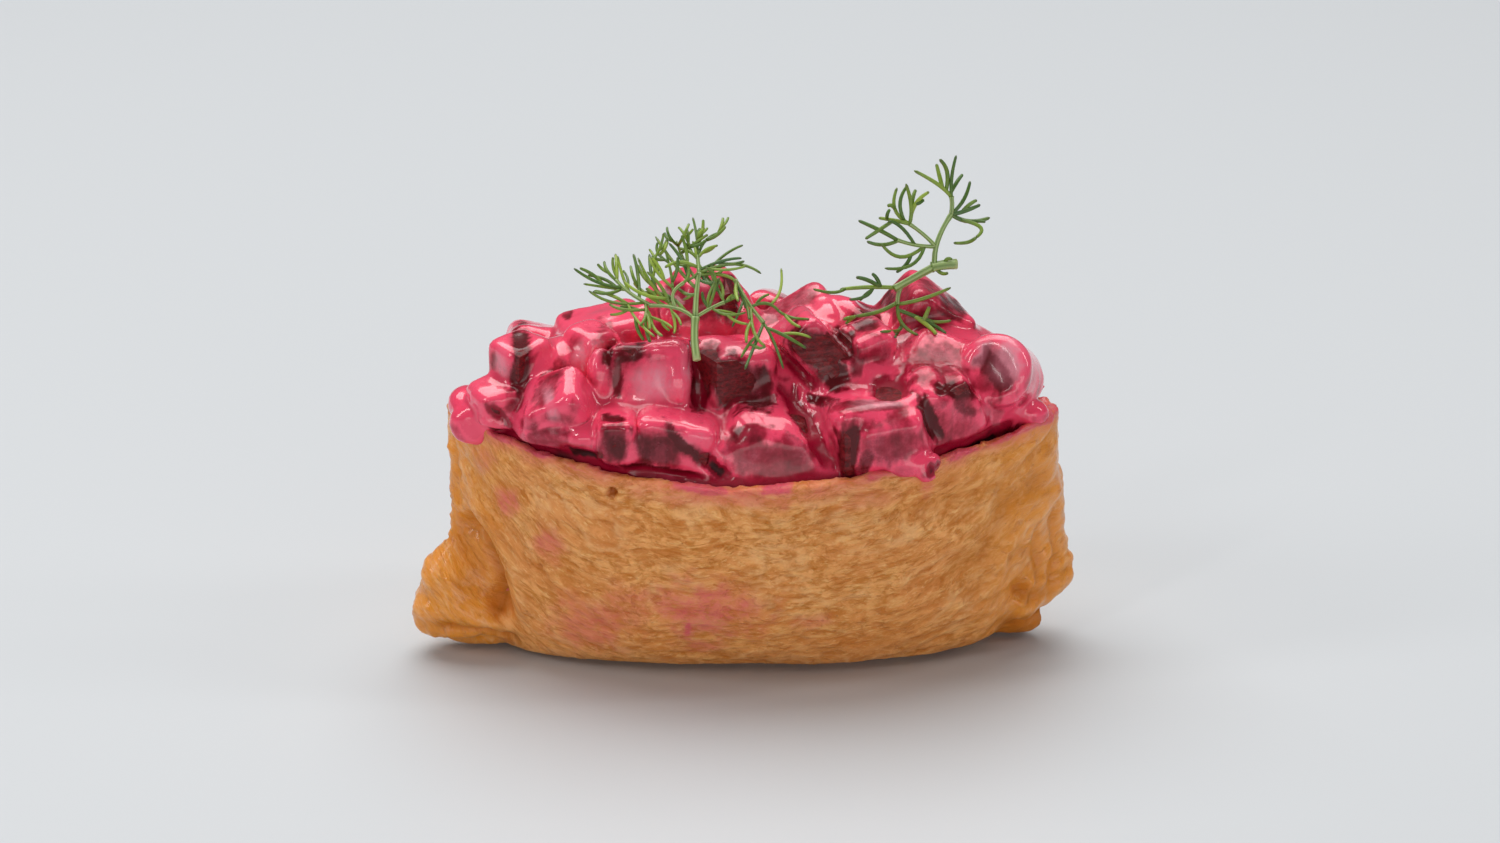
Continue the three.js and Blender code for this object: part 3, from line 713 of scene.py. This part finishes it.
core = evened(merged_copy("beetroot_heap"), CORE["voxel"])
for _ in range(CORE["rounds"]):
    free = [v for v in core.verts if v.co.z > CORE["from"]]
    smoothed(core, free)
core.normal_update()
for corner in core.verts:
    share = min(1, max(0, (corner.co.z - CORE["from"]) / (CORE["to"] - CORE["from"])))
    corner.co -= corner.normal * CORE["inwards"] * share
salad = kept_part(core, CUT_LEVEL, True)
add_to(salad, bare_dice)
for middle, reach in DRIPS:
    drop = bmesh.new()
    bmesh.ops.create_icosphere(drop, subdivisions=3, radius=1)
    bmesh.ops.scale(drop, verts=drop.verts, vec=reach)
    bmesh.ops.translate(drop, verts=drop.verts, vec=middle)
    add_to(salad, drop)
dressing = piece_of(evened(salad, DRESSING_VOXEL), "dressing")
at, out = read(dressing.data)
ends_of = np.empty(len(dressing.data.edges) * 2, int)
dressing.data.edges.foreach_get("vertices", ends_of)
ends_of = ends_of.reshape(-1, 2)
joined = np.bincount(ends_of.ravel(), minlength=len(at))


def averaged(values, rounds=1):
    """Each point's value taken as the mean of its neighbours', as many times as rounds."""
    first, second = ends_of.T
    for _ in range(rounds):
        total = np.column_stack([
            np.bincount(first, column[second], len(at)) + np.bincount(second, column[first], len(at))
            for column in values.reshape(len(at), -1).T
        ])
        values = (total / joined[:, None]).reshape(values.shape)
    return values


def covered(places):
    """How far each place is outside the dice, with a minus sign inside them."""
    cover = np.empty(len(places))
    for i, place in enumerate(places):
        place = Vector(place)
        found, facing, _, distance = beet_tree.find_nearest(place)
        cover[i] = distance if (place - found).dot(facing) > 0 else -distance
    return cover


def seen(places):
    """Each place as seen from the front: across and up, at the scale of the middle."""
    from_middle = places - np.array(LOOK_AT) / MM
    nearer = DISTANCE / (DISTANCE - MM * from_middle @ np.array(back))
    return from_middle @ np.column_stack([ACROSS, UPWARDS]) * nearer[:, None]


def in_oval(spots, across, up, half_length, half_width, tilt):
    """How far each spot is from the middle of a blunt oval, whose edge is a little over 1."""
    angle = math.radians(tilt)
    gap = spots - (across, up)
    along = gap @ (math.cos(angle), math.sin(angle)) / half_length
    aside = gap @ (-math.sin(angle), math.cos(angle)) / half_width
    return (along**4 + aside**4) ** 0.25 * 0.94


def facing_front(mesh):
    """1 for the points of a mesh that can be seen from the front, and 0 for the others."""
    shape = bmesh.new()
    shape.from_mesh(mesh)
    tree = BVHTree.FromBMesh(shape)
    shape.free()
    places, normals = read(mesh)
    open_ = normals @ np.array(back) > 0.02
    for i in np.flatnonzero(open_):
        open_[i] = tree.ray_cast(Vector(places[i] + normals[i] * 0.1) + back * 0.1, back, BEYOND)[0] is None
    return open_.astype(float)


drawn = 0.45 + 0.55 * eased(ripple(at, 6, 21), -0.4, 0.3)
for _ in range(WEBS):
    pull = averaged(at) - at
    outwards = (pull * out).sum(1)
    at = at + pull * (np.where(outwards > 0, 1, 0.07) * drawn)[:, None]
    write(dressing.data, at)
    out = read(dressing.data)[1]
level = averaged(at, 14)
bulge = ((at - level) * out).sum(1)
edge = eased(bulge, 0.03, 0.16)
level = averaged(level, 50)
# Painted shade: how deep each point lies in a hollow, small or wide, for a darker crimson laid into the
# dressing's colour.
valley = np.maximum(0.7 * eased(-bulge, 0.015, 0.12), eased(-((at - level) * out).sum(1), 0.1, 0.75))

sight = averaged(facing_front(dressing.data), 2)
spots = seen(at)
ragged = 0.35 * ripple(at, (1.4, 1.4, 2.4), 25) + 0.25 * ripple(at, (0.5, 0.5, 1.2), 27)


def ovals(rows, outer, inner, uneven):
    """How strongly each point is in one of the ovals, fading from outer to inner as they are drawn."""
    strongest = np.zeros(len(at))
    for *oval, strength in rows:
        share = sight * eased(-in_oval(spots, *oval) + uneven, -outer, -inner)
        strongest = np.maximum(strongest, strength * share)
    return strongest


hidden = (1 - sight) * 0.75 * eased(ripple(at, 4.5, 31), 0.12, 0.35)
steep = eased(-out[:, 2], -0.5, 0)
patchy = sight * steep * 0.44 * eased(ripple(at, (2.8, 2.8, 3.6), 32), -0.05, 0.3)
thin = np.maximum(np.maximum(hidden, ovals(THIN, 1.35, 0.7, ragged)), patchy)
hollow = ovals(HOLLOWS, 1.3, 0.5, ragged)
# Painted highlights, drawn as ovals seen from the front.
milky = ovals(MILKY, 1.5, 0.3, ragged * 0.5)

drape = np.clip(1 - 2.4 * np.abs(ripple(at, (2.6, 2.6, 9), 26)), 0, 1)
thickness = LAYER + 0.1 * ripple(at, 3.6, 22) + 0.03 * ripple(at, 1.4, 23)
thickness += 0.12 * (1 - steep) - 0.1 * steep * (1 - edge) + 0.22 * steep * drape**2 + 0.12 * edge
for middle, reach, extra in CREAM:
    distance = np.linalg.norm(at - middle, axis=1) / reach + 0.35 * ripple(at, 2.4, 24)
    thickness += extra * eased(-distance, -1.2, -0.2)
worn = averaged(thin * eased(thin, 0.4, 0.9), 11)
sunk = np.clip(covered(at), 0, 0.8) + 0.12
thickness = thickness * (1 - worn) - sunk * worn - np.minimum(hollow, 1.2) * 0.8
thickness *= eased(at[:, 2], CUT_LEVEL + 1, CUT_LEVEL + 3)
at = at + out * thickness[:, None]
for _ in range(SOFTENED):
    at = at * 0.5 + averaged(at) * 0.5

off = (at[:, :2] - (RIM["middle"], 0)) / (RIM["length"] / 2 - WALL - 0.2, RIM["width"] / 2 - WALL - 0.2)
reach = (np.abs(off) ** RIM["shape"]).sum(1) ** (1 / RIM["shape"])
turn = np.arctan2(at[:, 1] / RIM["width"], (at[:, 0] - RIM["middle"]) / RIM["length"])
held = eased(rim_height(turn) - at[:, 2], -1.2, -0.2) * eased(at[:, 2], CUT_LEVEL, CUT_LEVEL + 1)
clear = np.ones(len(at))
for middle, drop in DRIPS:
    clear *= eased(np.linalg.norm((at - middle) / drop, axis=1), 1.2, 1.9)
held *= clear
narrowed = 1 + (1 / np.maximum(reach, 1) - 1) * held
at[:, 0] = RIM["middle"] + (at[:, 0] - RIM["middle"]) * narrowed
at[:, 1] *= narrowed
write(dressing.data, at)

cover = covered(at)
cover = np.where(thin > 0.03, np.minimum(cover, 0.4 - 0.5 * thin), cover)
# Painted shade: a deep crimson along the inside of the rim, where the dressing meets the skin.
moat = eased(reach, 0.9, 0.99) * eased(rim_height(turn) - at[:, 2], -1.5, -0.3)
moat *= clear * (1 + 0.7 * ripple(at, 3, 33))
deep = np.maximum(hollow, moat)
paint(dressing.data, cover=cover, edge=edge, valley=valley, milky=milky, deep=deep)
dressing.data.transform(Matrix.Scale(MM, 4))
shaded_smooth(dressing)

cream = Finish("beetroot_dressing", Subsurface_Weight=0.12, Subsurface_Radius=(1.0, 0.25, 0.3),
               Subsurface_Scale=0.001, Coat_Roughness=0.06, Specular_IOR_Level=0.28)
here = cream.places()
cloudy = cream.noise(here, 0.0035, 4, 0.6)
fine = cream.noise(here, 0.0007, 3, 0.6)
runs = cream.noise(here, (0.0012, 0.0012, 0.0035), 3, 0.55, 0.4)
veil = cream.attribute("cover") + cream.attribute("edge") * 0.1
veil = veil + (cloudy - 0.5) * 0.3 + (fine - 0.5) * 0.14 + (runs - 0.5) * 0.24
deep = cream.attribute("deep") + (cloudy - 0.5) * 0.4
film_colour = cream.mixed(cream.eased(cloudy, 0.46, 0.62) * 0.3, tint(188, 46, 72), tint(216, 106, 129))
# Painted highlight: a pale pinkish white over the film.
film_colour = cream.mixed(cream.attribute("milky") * 0.85, film_colour, tint(236, 164, 178))
film_colour = cream.mixed(cream.eased(veil, -0.05, 0.31), tint(86, 10, 18), film_colour)
dressing_colour = cream.layered(film_colour, [
    (cream.eased(veil, 0.16, 0.42), tint(245, 76, 111)),
    # and a little of the painted highlight over the cream
    (cream.attribute("milky") * 0.3, tint(240, 140, 162)),
    (cream.eased(veil, 0.7, 1.7) * 0.6, tint(232, 60, 96)),
    # painted shade in the hollows
    (cream.attribute("valley") * 0.72, tint(158, 9, 44)),
    # painted shade: deep crimson in the hollows and along the rim, near black in the deepest gaps
    (cream.eased(deep, 0.1, 0.8), tint(150, 8, 42)),
    (cream.eased(deep, 1.1, 1.6), tint(50, 8, 12)),
])
cream.feed("Base Color", dressing_colour)
cream.feed("Roughness", 0.18 + cream.eased(deep, 0.6, 1.2) * 0.3 + cream.eased(cloudy, 0.4, 0.7) * 0.14)
cream.feed("Coat Weight", (0.12 + 0.74 * cream.eased(veil, 0.1, 0.5)) * cream.eased(deep, 1.2, 0.6))
cream.feed("Normal", cream.bumped(cloudy * 0.5 + runs * 0.3, 0.16, 0.0004))
dressing.data.materials.append(cream.material)
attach(dressing, "root")
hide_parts("beetroot_heap")

# ---- The filling below -----------------------------------------------------------------------
# What fills the boat under the salad: the same heap carried down to the boat's floor. It can't
# be seen from outside.
lower = kept_part(merged_copy("beetroot_heap"), CUT_LEVEL - 0.1, False)
bmesh.ops.scale(lower, verts=lower.verts, vec=(0.96, 0.93, 1))
filling = piece_of(lower, "filling")
filling.data.transform(Matrix.Scale(MM, 4))
filling.data.materials.append(cream.material)
none = np.zeros(len(filling.data.vertices))
paint(filling.data, cover=none + 1, edge=none, valley=none, milky=none, deep=none)
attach(filling, "root")
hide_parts("beetroot_heap")

# ---- The dill --------------------------------------------------------------------------------
# Three pieces of fresh dill laid on the salad: a dense sprig with its cut stem down the front, a
# small frond beside it, and an upright sprig with a thick cut stub. Every shoot is a ribbed stem
# or a blunt grooved thread, and grows out of the one before it.
HEAP_RISE = 0.4  # how steeply the way out of the heap rises, in radians
OUT_OF_HEAP = Vector((0, -math.cos(HEAP_RISE), math.sin(HEAP_RISE)))
CLEAR = 0.12  # how far the shoots keep off the dressing
SPRIGS = {  # how far ahead of the middle each lies at one spot, and how much more per mm across and up
    "dill_left": {"from": (-6, 12.3, 15.4), "slope": (0, -0.42), "spread": 1.7, "tone": 0.5},
    "dill_middle": {"from": (3, 10.8, 13.2), "slope": (-0.25, -0.6), "spread": 0.8, "tone": 0.45},
    "dill_right": {"from": (24, 18, 6.2), "slope": (-0.22, 0.12), "spread": 1.3, "tone": 0.35},
}
STEMS = {  # start, middle and end across and up, the radii there, and whether it starts at a cut
    "dill_left": [
        (-6.2, 7.2, -6.5, 9.6, -6.4, 12.2, 0.46, 0.42, True),
        (-6.4, 12.2, -6.3, 14.8, -6, 17.5, 0.34, 0.27, False),
        (-6, 17.5, -6.1, 18.6, -6.2, 19.6, 0.26, 0.22, False),
        (-6.8, 12, -8.5, 13.3, -11.9, 13.6, 0.22, 0.22, False),
        (-11.5, 13.5, -14, 15, -15.8, 16.7, 0.22, 0.2, False),
        (-8.7, 13.2, -9.1, 15, -7.8, 16.3, 0.21, 0.2, False),
        (-5.9, 12.3, -4.6, 13.3, -3, 14, 0.22, 0.21, False),
    ],
    "dill_middle": [(-1.7, 16.8, -0.4, 14.3, 1.6, 11.6, 0.2, 0.22, False)],
    "dill_right": [
        (24.7, 18.8, 23.2, 18.7, 21.7, 18.4, 0.62, 0.54, True),
        (21.9, 18.5, 19.8, 17.3, 17.2, 15.8, 0.48, 0.4, False),
        (22, 18.6, 22.3, 21.4, 24, 24.7, 0.33, 0.28, False),
        (24, 24.6, 24.1, 25.7, 24, 26.8, 0.28, 0.26, False),
        (22.2, 20.8, 20.8, 22.2, 19, 23.5, 0.25, 0.22, False),
        (22.2, 20.7, 19.8, 21, 17.5, 21.6, 0.24, 0.21, False),
        (18.2, 16.2, 17.7, 15.2, 17.6, 14, 0.28, 0.25, False),
    ],
}
THREADS = {  # start, middle and end of each needle, across and up
    "dill_left": [
        (-15.7, 16.5, -16.8, 17.7, -17.2, 18.9), (-14.8, 15.7, -17.8, 16.3, -20.7, 18),
        (-14.5, 15.2, -16.9, 15.8, -19.6, 16.2), (-12.6, 13.5, -15.9, 13.9, -19, 15.4),
        (-15.9, 16.4, -15.7, 18.1, -15.9, 19.8), (-13.9, 15.3, -15, 17.1, -15.6, 19.5),
        (-12.9, 14.6, -13.2, 17.3, -13.8, 19.8), (-8.9, 13.3, -11.2, 15.6, -13.2, 19.3),
        (-10.9, 15, -11.6, 17.2, -11.9, 19.8), (-7.9, 16.1, -7.2, 17.2, -7.5, 18.8),
        (-9.1, 15.2, -9.3, 17.5, -10, 20.2), (-9.3, 16, -10.8, 17.4, -11.9, 19.4),
        (-6, 15.5, -8.4, 17.9, -11.2, 21.9), (-6.3, 16.4, -7.6, 18.6, -8.7, 21.4),
        (-6.2, 19.4, -6.3, 21.8, -6.8, 24.2), (-6, 19.4, -5.3, 21.4, -3.6, 22.4),
        (-3.8, 22.2, -3.4, 23.1, -3.2, 24.2), (-6.2, 19.2, -5.2, 20.3, -3.8, 20.8),
        (-6.5, 21.4, -5.9, 22.3, -5.4, 22.9), (-7.6, 20, -6.3, 21.2, -5, 22.1),
        (-7.2, 21.1, -7.8, 22.2, -8.5, 23), (-8.7, 20.7, -7.8, 22, -7.2, 23.4),
        (-9.1, 20.5, -9.5, 21.8, -9.8, 23), (-11, 18.8, -10.6, 20.5, -10.2, 22.2),
        (-10, 18.7, -10.9, 19.9, -10.9, 21.2), (-6.3, 19, -7, 20, -8.5, 20.5),
        (-6, 18.1, -8.2, 18.8, -10, 18.1), (-3, 13.9, -2.1, 14.4, -1.2, 14.8),
        (-4.6, 13.1, -2.8, 12.5, -0.5, 12.8), (-2.9, 14.1, -3.8, 15.6, -4.5, 17.2),
        (-2.3, 14.3, -1.7, 14.9, -1.9, 15.5), (-5.9, 17.8, -3.4, 18.9, -1, 19.2),
        (-5.9, 17.5, -1.9, 18.6, 1.3, 17.4), (-5.9, 17.1, -3.2, 17.3, -1.5, 16.3),
        (-4.9, 13.3, -4, 16.6, -5.2, 18.1), (-5, 13, -4.9, 14.6, -4.1, 16.4),
        (-1.8, 16.9, -1, 14.9, -0.5, 13.3), (-14.6, 13.9, -13.2, 11.8, -11.1, 9.9),
        (-12.6, 13.5, -11.5, 11.3, -10.2, 10), (-9.1, 13.3, -8.8, 11.6, -8.9, 10.3),
        (-11.1, 12.3, -10, 11.6, -9.1, 10.9), (-12.6, 13.2, -14.8, 13.1, -16.5, 13.8),
        (-10, 13.7, -12.4, 15.1, -13.7, 16.4), (-7.1, 13.2, -9.6, 14.8, -12.6, 15.2),
        (-6.2, 15.2, -7.3, 14.9, -8.5, 15.7), (-12.3, 14.2, -12.2, 12.4, -12.9, 11.2),
        (-6.4, 16.8, -4.8, 16.2, -3.6, 16.9), (-6.3, 18.6, -5, 17.4, -3.2, 17.8),
    ],
    "dill_middle": [
        (1.6, 11.6, 2.8, 9.4, 3.9, 6.2), (1.8, 11.1, 4.1, 10.1, 6.6, 8.6),
        (0, 13.2, 0.4, 10.6, 1.8, 8.8), (1.8, 8.8, 0.9, 8.6, -0.1, 9.3),
        (1.5, 11.4, 0.6, 9.1, -0.6, 6.1), (0.2, 13.8, 2, 14, 3.5, 12.9),
        (3.3, 13, 4.8, 12.3, 7, 12), (2.4, 13.8, 3.6, 15.5, 3.7, 18.2),
        (-0.9, 14.8, -1.1, 13.4, -2.1, 11.1),
    ],
    "dill_right": [
        (24, 26.7, 22.6, 28.1, 19.5, 29.8), (23.1, 27.6, 22.6, 29.1, 22.2, 30.7),
        (24.1, 28.2, 23.5, 29.7, 22.5, 31.1), (24, 26.7, 24, 29, 24.5, 31.6),
        (24.2, 27.5, 24.7, 28.6, 25.4, 29.5), (24.1, 24.7, 25.5, 26.4, 26.3, 28.7),
        (24.2, 24.5, 25.6, 25.1, 27.5, 25.9), (24.2, 24.4, 26.1, 23.9, 28.7, 24.4),
        (25.4, 24, 27.6, 23.2, 26.9, 21.9), (26.9, 21.9, 26, 21.4, 24.3, 21.3),
        (19, 23.5, 19.2, 25.6, 18.5, 28.2), (19.1, 24.9, 19.9, 26.2, 21.3, 27.3),
        (19.7, 25.8, 20.1, 26, 20.7, 26.4), (18.5, 23.5, 17.2, 25.2, 17.5, 27.8),
        (17.2, 25.4, 16.8, 25.7, 16.4, 25.6), (18.4, 23.6, 17.8, 26, 18.7, 28),
        (18.8, 23.4, 17.2, 23.9, 15.3, 24.2), (16.9, 23.9, 15.4, 22.8, 13.7, 21.7),
        (16.2, 24, 16.3, 24.6, 16.6, 25.2), (19.5, 21.2, 18, 23.1, 16.4, 23.8),
        (17.5, 21.6, 15.3, 22.8, 12.9, 23.9), (17.7, 21.5, 15.8, 21, 13.9, 21.4),
        (20.7, 20.9, 18, 19.5, 15.6, 21.1), (20.6, 20.8, 19.3, 18.6, 16, 18.2),
        (22, 18.2, 22.8, 17.7, 23.6, 17.7), (23, 19, 23.5, 19.4, 24.1, 19.3),
        (17.3, 15.9, 14.1, 16, 10.7, 15.7), (11.4, 15.7, 9.8, 15.3, 7.5, 15.7),
        (15.6, 16, 15.1, 17, 14.5, 17.6), (15.3, 16, 14, 16.8, 12.6, 17.1),
        (14.9, 15.9, 13.8, 14.9, 11.8, 14.5), (17.6, 14.2, 15.4, 13.1, 12.5, 12.5),
        (12.6, 12.5, 11.9, 12.1, 11.4, 11.6), (17.9, 13, 20.5, 14.6, 24, 16),
        (17.6, 14, 18, 11.8, 20, 10.3), (17.8, 13.4, 21, 12, 23.4, 10.5),
        (20.5, 12.1, 22.2, 11.9, 24.1, 12.1), (18, 12, 17.9, 10.9, 15.4, 10.5),
        (20, 12.4, 21.3, 11.4, 22.2, 10.3), (20.7, 12.1, 21.1, 12.9, 21.4, 13.7),
    ],
}
THREAD_RADIUS = {"dill_left": 0.2, "dill_middle": 0.2, "dill_right": 0.245}
STEM_SPREAD = 0.4  # how far a stem may lean ahead or back
FORKS = {"dill_left": 1.3, "dill_middle": 0.5, "dill_right": 0.2}  # side needles to each thread
FORK = {  # where on its thread a side needle starts, its share of the length, and its turns in radians
    "start": (0.08, 0.5), "length": (0.5, 0.8), "bend": 0.46, "tip": 0.3,
}
RIBS = 5
RINGS = 9


def rod(sides):
    """A straight rod of radius 1 from 0 to 1 on Z, with its rings closer together at its tip."""
    straight = bmesh.new()
    bmesh.ops.create_cone(straight, cap_ends=True, segments=sides, radius1=1, radius2=1, depth=1)
    along = [e for e in straight.edges if abs(e.verts[0].co.z - e.verts[1].co.z) > 0.5]
    bmesh.ops.subdivide_edges(straight, edges=along, cuts=RINGS, use_grid_fill=True)
    bmesh.ops.translate(straight, verts=straight.verts, vec=(0, 0, 0.5))
    mesh = bpy.data.meshes.new("rod")
    straight.to_mesh(mesh)
    straight.free()
    return mesh


RODS = {"stem": rod(20), "thread": rod(8)}
dressing_shape = bmesh.new()
dressing_shape.from_mesh(dressing.data)
bmesh.ops.scale(dressing_shape, vec=(1 / MM,) * 3, verts=dressing_shape.verts)
dressing_tree = BVHTree.FromBMesh(dressing_shape)
dressing_shape.free()


def lifted(place, radius):
    """The place, moved out of the heap if it is inside it."""
    far = place + OUT_OF_HEAP * BEYOND
    hit, _, _, distance = dressing_tree.ray_cast(far, -OUT_OF_HEAP)
    if hit is None or distance > BEYOND + radius + CLEAR:
        return place
    return hit + OUT_OF_HEAP * (radius + CLEAR)


def in_front(across, up, ahead):
    """A place given across and up as seen from the front, and how far it is ahead."""
    return LOOK_AT / MM + ACROSS * across + UPWARDS * up + back * ahead


def forked(row):
    """A shorter needle that leaves a thread at an angle, as start, middle and end across and up."""
    start, middle, end = (complex(*row[i:i + 2]) for i in (0, 2, 4))
    control = middle * 2 - (start + end) / 2
    share = draw.uniform(*FORK["start"])
    root = start * (1 - share) ** 2 + control * 2 * share * (1 - share) + end * share**2
    way = (control - start) * (1 - share) + (end - control) * share
    length = abs(end - start) * draw.uniform(*FORK["length"])
    side = draw.choice((-1, 1))
    unit = way / abs(way) * length
    bend = root + unit * 0.5 * complex(math.cos(FORK["bend"]), side * math.sin(FORK["bend"]))
    tip = root + unit * complex(math.cos(FORK["tip"]), side * math.sin(FORK["tip"]))
    return (root.real, root.imag, bend.real, bend.imag, tip.real, tip.imag)


class Sprig:
    """One piece of dill: its shape, and what its material reads."""

    def __init__(self, name):
        self.name = name
        self.shape = bmesh.new()
        self.grown = []  # places along the middle of every shoot
        self.marks = {"tone": [], "stem": [], "rib": [], "tip": [], "cut": []}

    def ahead(self, across, up):
        from_across, from_up, there = SPRIGS[self.name]["from"]
        slope_across, slope_up = SPRIGS[self.name]["slope"]
        return there + (across - from_across) * slope_across + (up - from_up) * slope_up

    def root(self, across, up):
        """The place on an earlier shoot where a new one starts."""
        flat = in_front(across, up, self.ahead(across, up))
        if not self.grown:
            return flat
        sideways = [(p - flat) - back * (p - flat).dot(back) for p in self.grown]
        nearest = min(range(len(sideways)), key=lambda i: sideways[i].length)
        return self.grown[nearest] if sideways[nearest].length < 1.2 else flat

    def shoot(self, row, radii, stem=False, cut=False):
        start = self.root(*row[:2])
        spread = STEM_SPREAD if stem else SPRIGS[self.name]["spread"]
        sway = draw.uniform(-spread, spread)
        bow = draw.uniform(-0.3, 0.3) * spread
        middle = in_front(*row[2:4], self.ahead(*row[2:4]) + sway * 0.45 + bow)
        end = in_front(*row[4:6], self.ahead(*row[4:6]) + sway)
        control = middle * 2 - (start + end) / 2
        mesh = RODS["stem" if stem else "thread"]
        ring = np.empty(len(mesh.vertices) * 3)
        mesh.vertices.foreach_get("co", ring)
        ring = ring.reshape(-1, 3)
        steps = np.unique(ring[:, 2].round(4))
        shares = 1 - (1 - steps) ** 1.5
        centres = [start * (1 - t) ** 2 + control * 2 * t * (1 - t) + end * t * t for t in shares]
        radius_at = radii[0] + (radii[1] - radii[0]) * shares
        if stem:  # it swells where the next shoots leave it
            radius_at *= 1 + 0.22 * np.exp(-((shares - 1) / 0.08) ** 2)
        else:  # it thins towards both ends, and has a blunt tip
            radius_at *= 0.8 + 0.3 * np.sin(np.pi * np.clip(shares * 0.8 + 0.1, 0, 1))
            radius_at[-1] *= 0.45
        centres = [lifted(c, r) if i else c for i, (c, r) in enumerate(zip(centres, radius_at))]
        for _ in range(2):
            centres[1:-1] = [(a + b * 2 + c) / 4 for a, b, c in zip(centres, centres[1:], centres[2:])]
        self.grown += [c.copy() for c in centres]
        twist = draw.uniform(-0.6, 0.6)
        tone = min(1, max(0, draw.gauss(SPRIGS[self.name]["tone"], 0.22)))
        count = len(self.shape.verts)
        self.shape.from_mesh(mesh)
        self.shape.verts.ensure_lookup_table()
        for i, (u, v, height) in enumerate(ring):
            step = int(np.searchsorted(steps, round(height, 4)))
            before, after = centres[max(step - 1, 0)], centres[min(step + 1, len(centres) - 1)]
            way = (after - before).normalized()
            side = way.cross(back).normalized()
            front = side.cross(way)
            angle = math.atan2(v, u)
            rib = 0.5 + 0.5 * math.cos(RIBS * angle) if stem else max(0, math.sin(angle)) ** 3
            reach = radius_at[step] * (1 + 0.14 * (rib - 0.5) if stem else 1 - 0.2 * rib)
            turned = angle + twist
            flat = 1 if stem else 0.8
            offset = side * math.cos(turned) + front * (-math.sin(turned) * flat)
            self.shape.verts[count + i].co = centres[step] + offset * reach
            self.marks["tone"].append(tone)
            self.marks["stem"].append(1.0 if stem else max(0, 0.5 - 1.6 * shares[step]))
            self.marks["rib"].append(rib)
            self.marks["tip"].append(0 if stem else shares[step])
            self.marks["cut"].append(1.0 if cut and step == 0 else 0)

    def finished(self):
        bmesh.ops.recalc_face_normals(self.shape, faces=self.shape.faces)
        bmesh.ops.triangulate(self.shape, faces=[f for f in self.shape.faces if len(f.verts) > 4])
        piece = piece_of(self.shape, self.name.replace("dill", "dill_sprig"))
        paint(piece.data, **{mark: np.array(values) for mark, values in self.marks.items()})
        piece.data.transform(Matrix.Scale(MM, 4))
        shaded_smooth(piece)
        piece.data.materials.append(herb.material)
        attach(piece, "root")
        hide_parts(self.name)


herb = Finish("dill_green", Roughness=0.4, Subsurface_Weight=0.15, Subsurface_Radius=(0.5, 1.0, 0.2),
              Subsurface_Scale=0.0006, Coat_Roughness=0.25)
growing = herb.places()
mottle = herb.noise(growing, 0.0011, 3, 0.6)
waxy = herb.noise(growing, 0.005, 2, 0.5)
toned = herb.attribute("tone") + (mottle - 0.5) * 0.5
stalk = herb.mixed(herb.attribute("rib") * 0.8, tint(104, 132, 62), tint(182, 204, 140))
leaf = herb.mixed(herb.eased(toned, 0.1, 0.9), tint(66, 103, 30), tint(148, 172, 58))
leaf = herb.layered(leaf, [
    (herb.eased(waxy, 0.5, 0.7) * 0.4, tint(62, 104, 72)),
    (herb.attribute("rib") * 0.45, tint(150, 172, 96)),
    (herb.attribute("stem") * 0.9, stalk),
    (herb.eased(herb.attribute("tip"), 0.9, 1.0) * 0.6, tint(70, 76, 44)),
    (herb.attribute("cut"), tint(178, 190, 128)),
])
herb.feed("Base Color", leaf)
herb.feed("Roughness", 0.34 + mottle * 0.2)
herb.feed("Coat Weight", 0.25 * herb.eased(waxy, 0.35, 0.6))
herb.feed("Normal", herb.bumped(mottle, 0.3, 0.0001))
for name in SPRIGS:
    sprig = Sprig(name)
    for *row, first, last, cut in STEMS[name]:
        sprig.shoot(row, (first, last), stem=True, cut=cut)
    grown_twice = [forked(row) for row in THREADS[name] for _ in range(int(FORKS[name] + draw.random()))
                   if abs(row[0] - row[4]) + abs(row[1] - row[5]) > 2]
    for row in THREADS[name] + grown_twice:
        thick = THREAD_RADIUS[name] * draw.uniform(0.85, 1.12)
        sprig.shoot(row, (thick, thick * 0.85))
    sprig.finished()

# ---- The table and the light -----------------------------------------------------------------
# A pale grey table under a broad soft light from above and behind, with a window to the left and a
# low light in front. Two narrow lamps draw bright lines along what is wet.
TABLE_HALF = 1.5
ROOM = {"colour": (0.95, 0.97, 1, 1), "strength": 0.135}
LAMP_COLOUR = (1, 0.975, 0.945)
floor_shape = bmesh.new()
bmesh.ops.create_grid(floor_shape, x_segments=1, y_segments=1, size=TABLE_HALF)
table = piece_of(floor_shape, "table")
stone = Finish("pale_table", Roughness=0.5)
stone.feed("Base Color", tint(199, 204, 209))
table.data.materials.append(stone.material)

world = bpy.data.worlds.new("room")
scene.world = world
world.use_nodes = True
air = world.node_tree.nodes["Background"].inputs
air["Color"].default_value = ROOM["colour"]
air["Strength"].default_value = ROOM["strength"]

LAMPS = [  # name, place, width, height, watts
    ("overhead", (-0.1, 0.34, 0.86), 1.05, 0.85, 10.7),
    ("window", (-0.5, -0.14, 0.34), 0.1, 0.28, 0.6),
    ("glint", (-0.3, -0.42, 0.44), 0.04, 0.16, 0.32),
    ("front", (0.14, -0.76, 0.13), 1.3, 0.25, 2.28),
    ("strip", (0.44, -0.02, 0.34), 0.05, 0.3, 0.4),
]
for name, place, width, height, watts in LAMPS:
    lamp = bpy.data.lights.new(name, "AREA")
    lamp.shape = "RECTANGLE"
    lamp.size = width
    lamp.size_y = height
    lamp.energy = watts
    lamp.color = LAMP_COLOUR
    holder = bpy.data.objects.new(name, lamp)
    scene.collection.objects.link(holder)
    holder.location = place
    holder.rotation_euler = (LOOK_AT - Vector(place)).to_track_quat("-Z", "Y").to_euler()
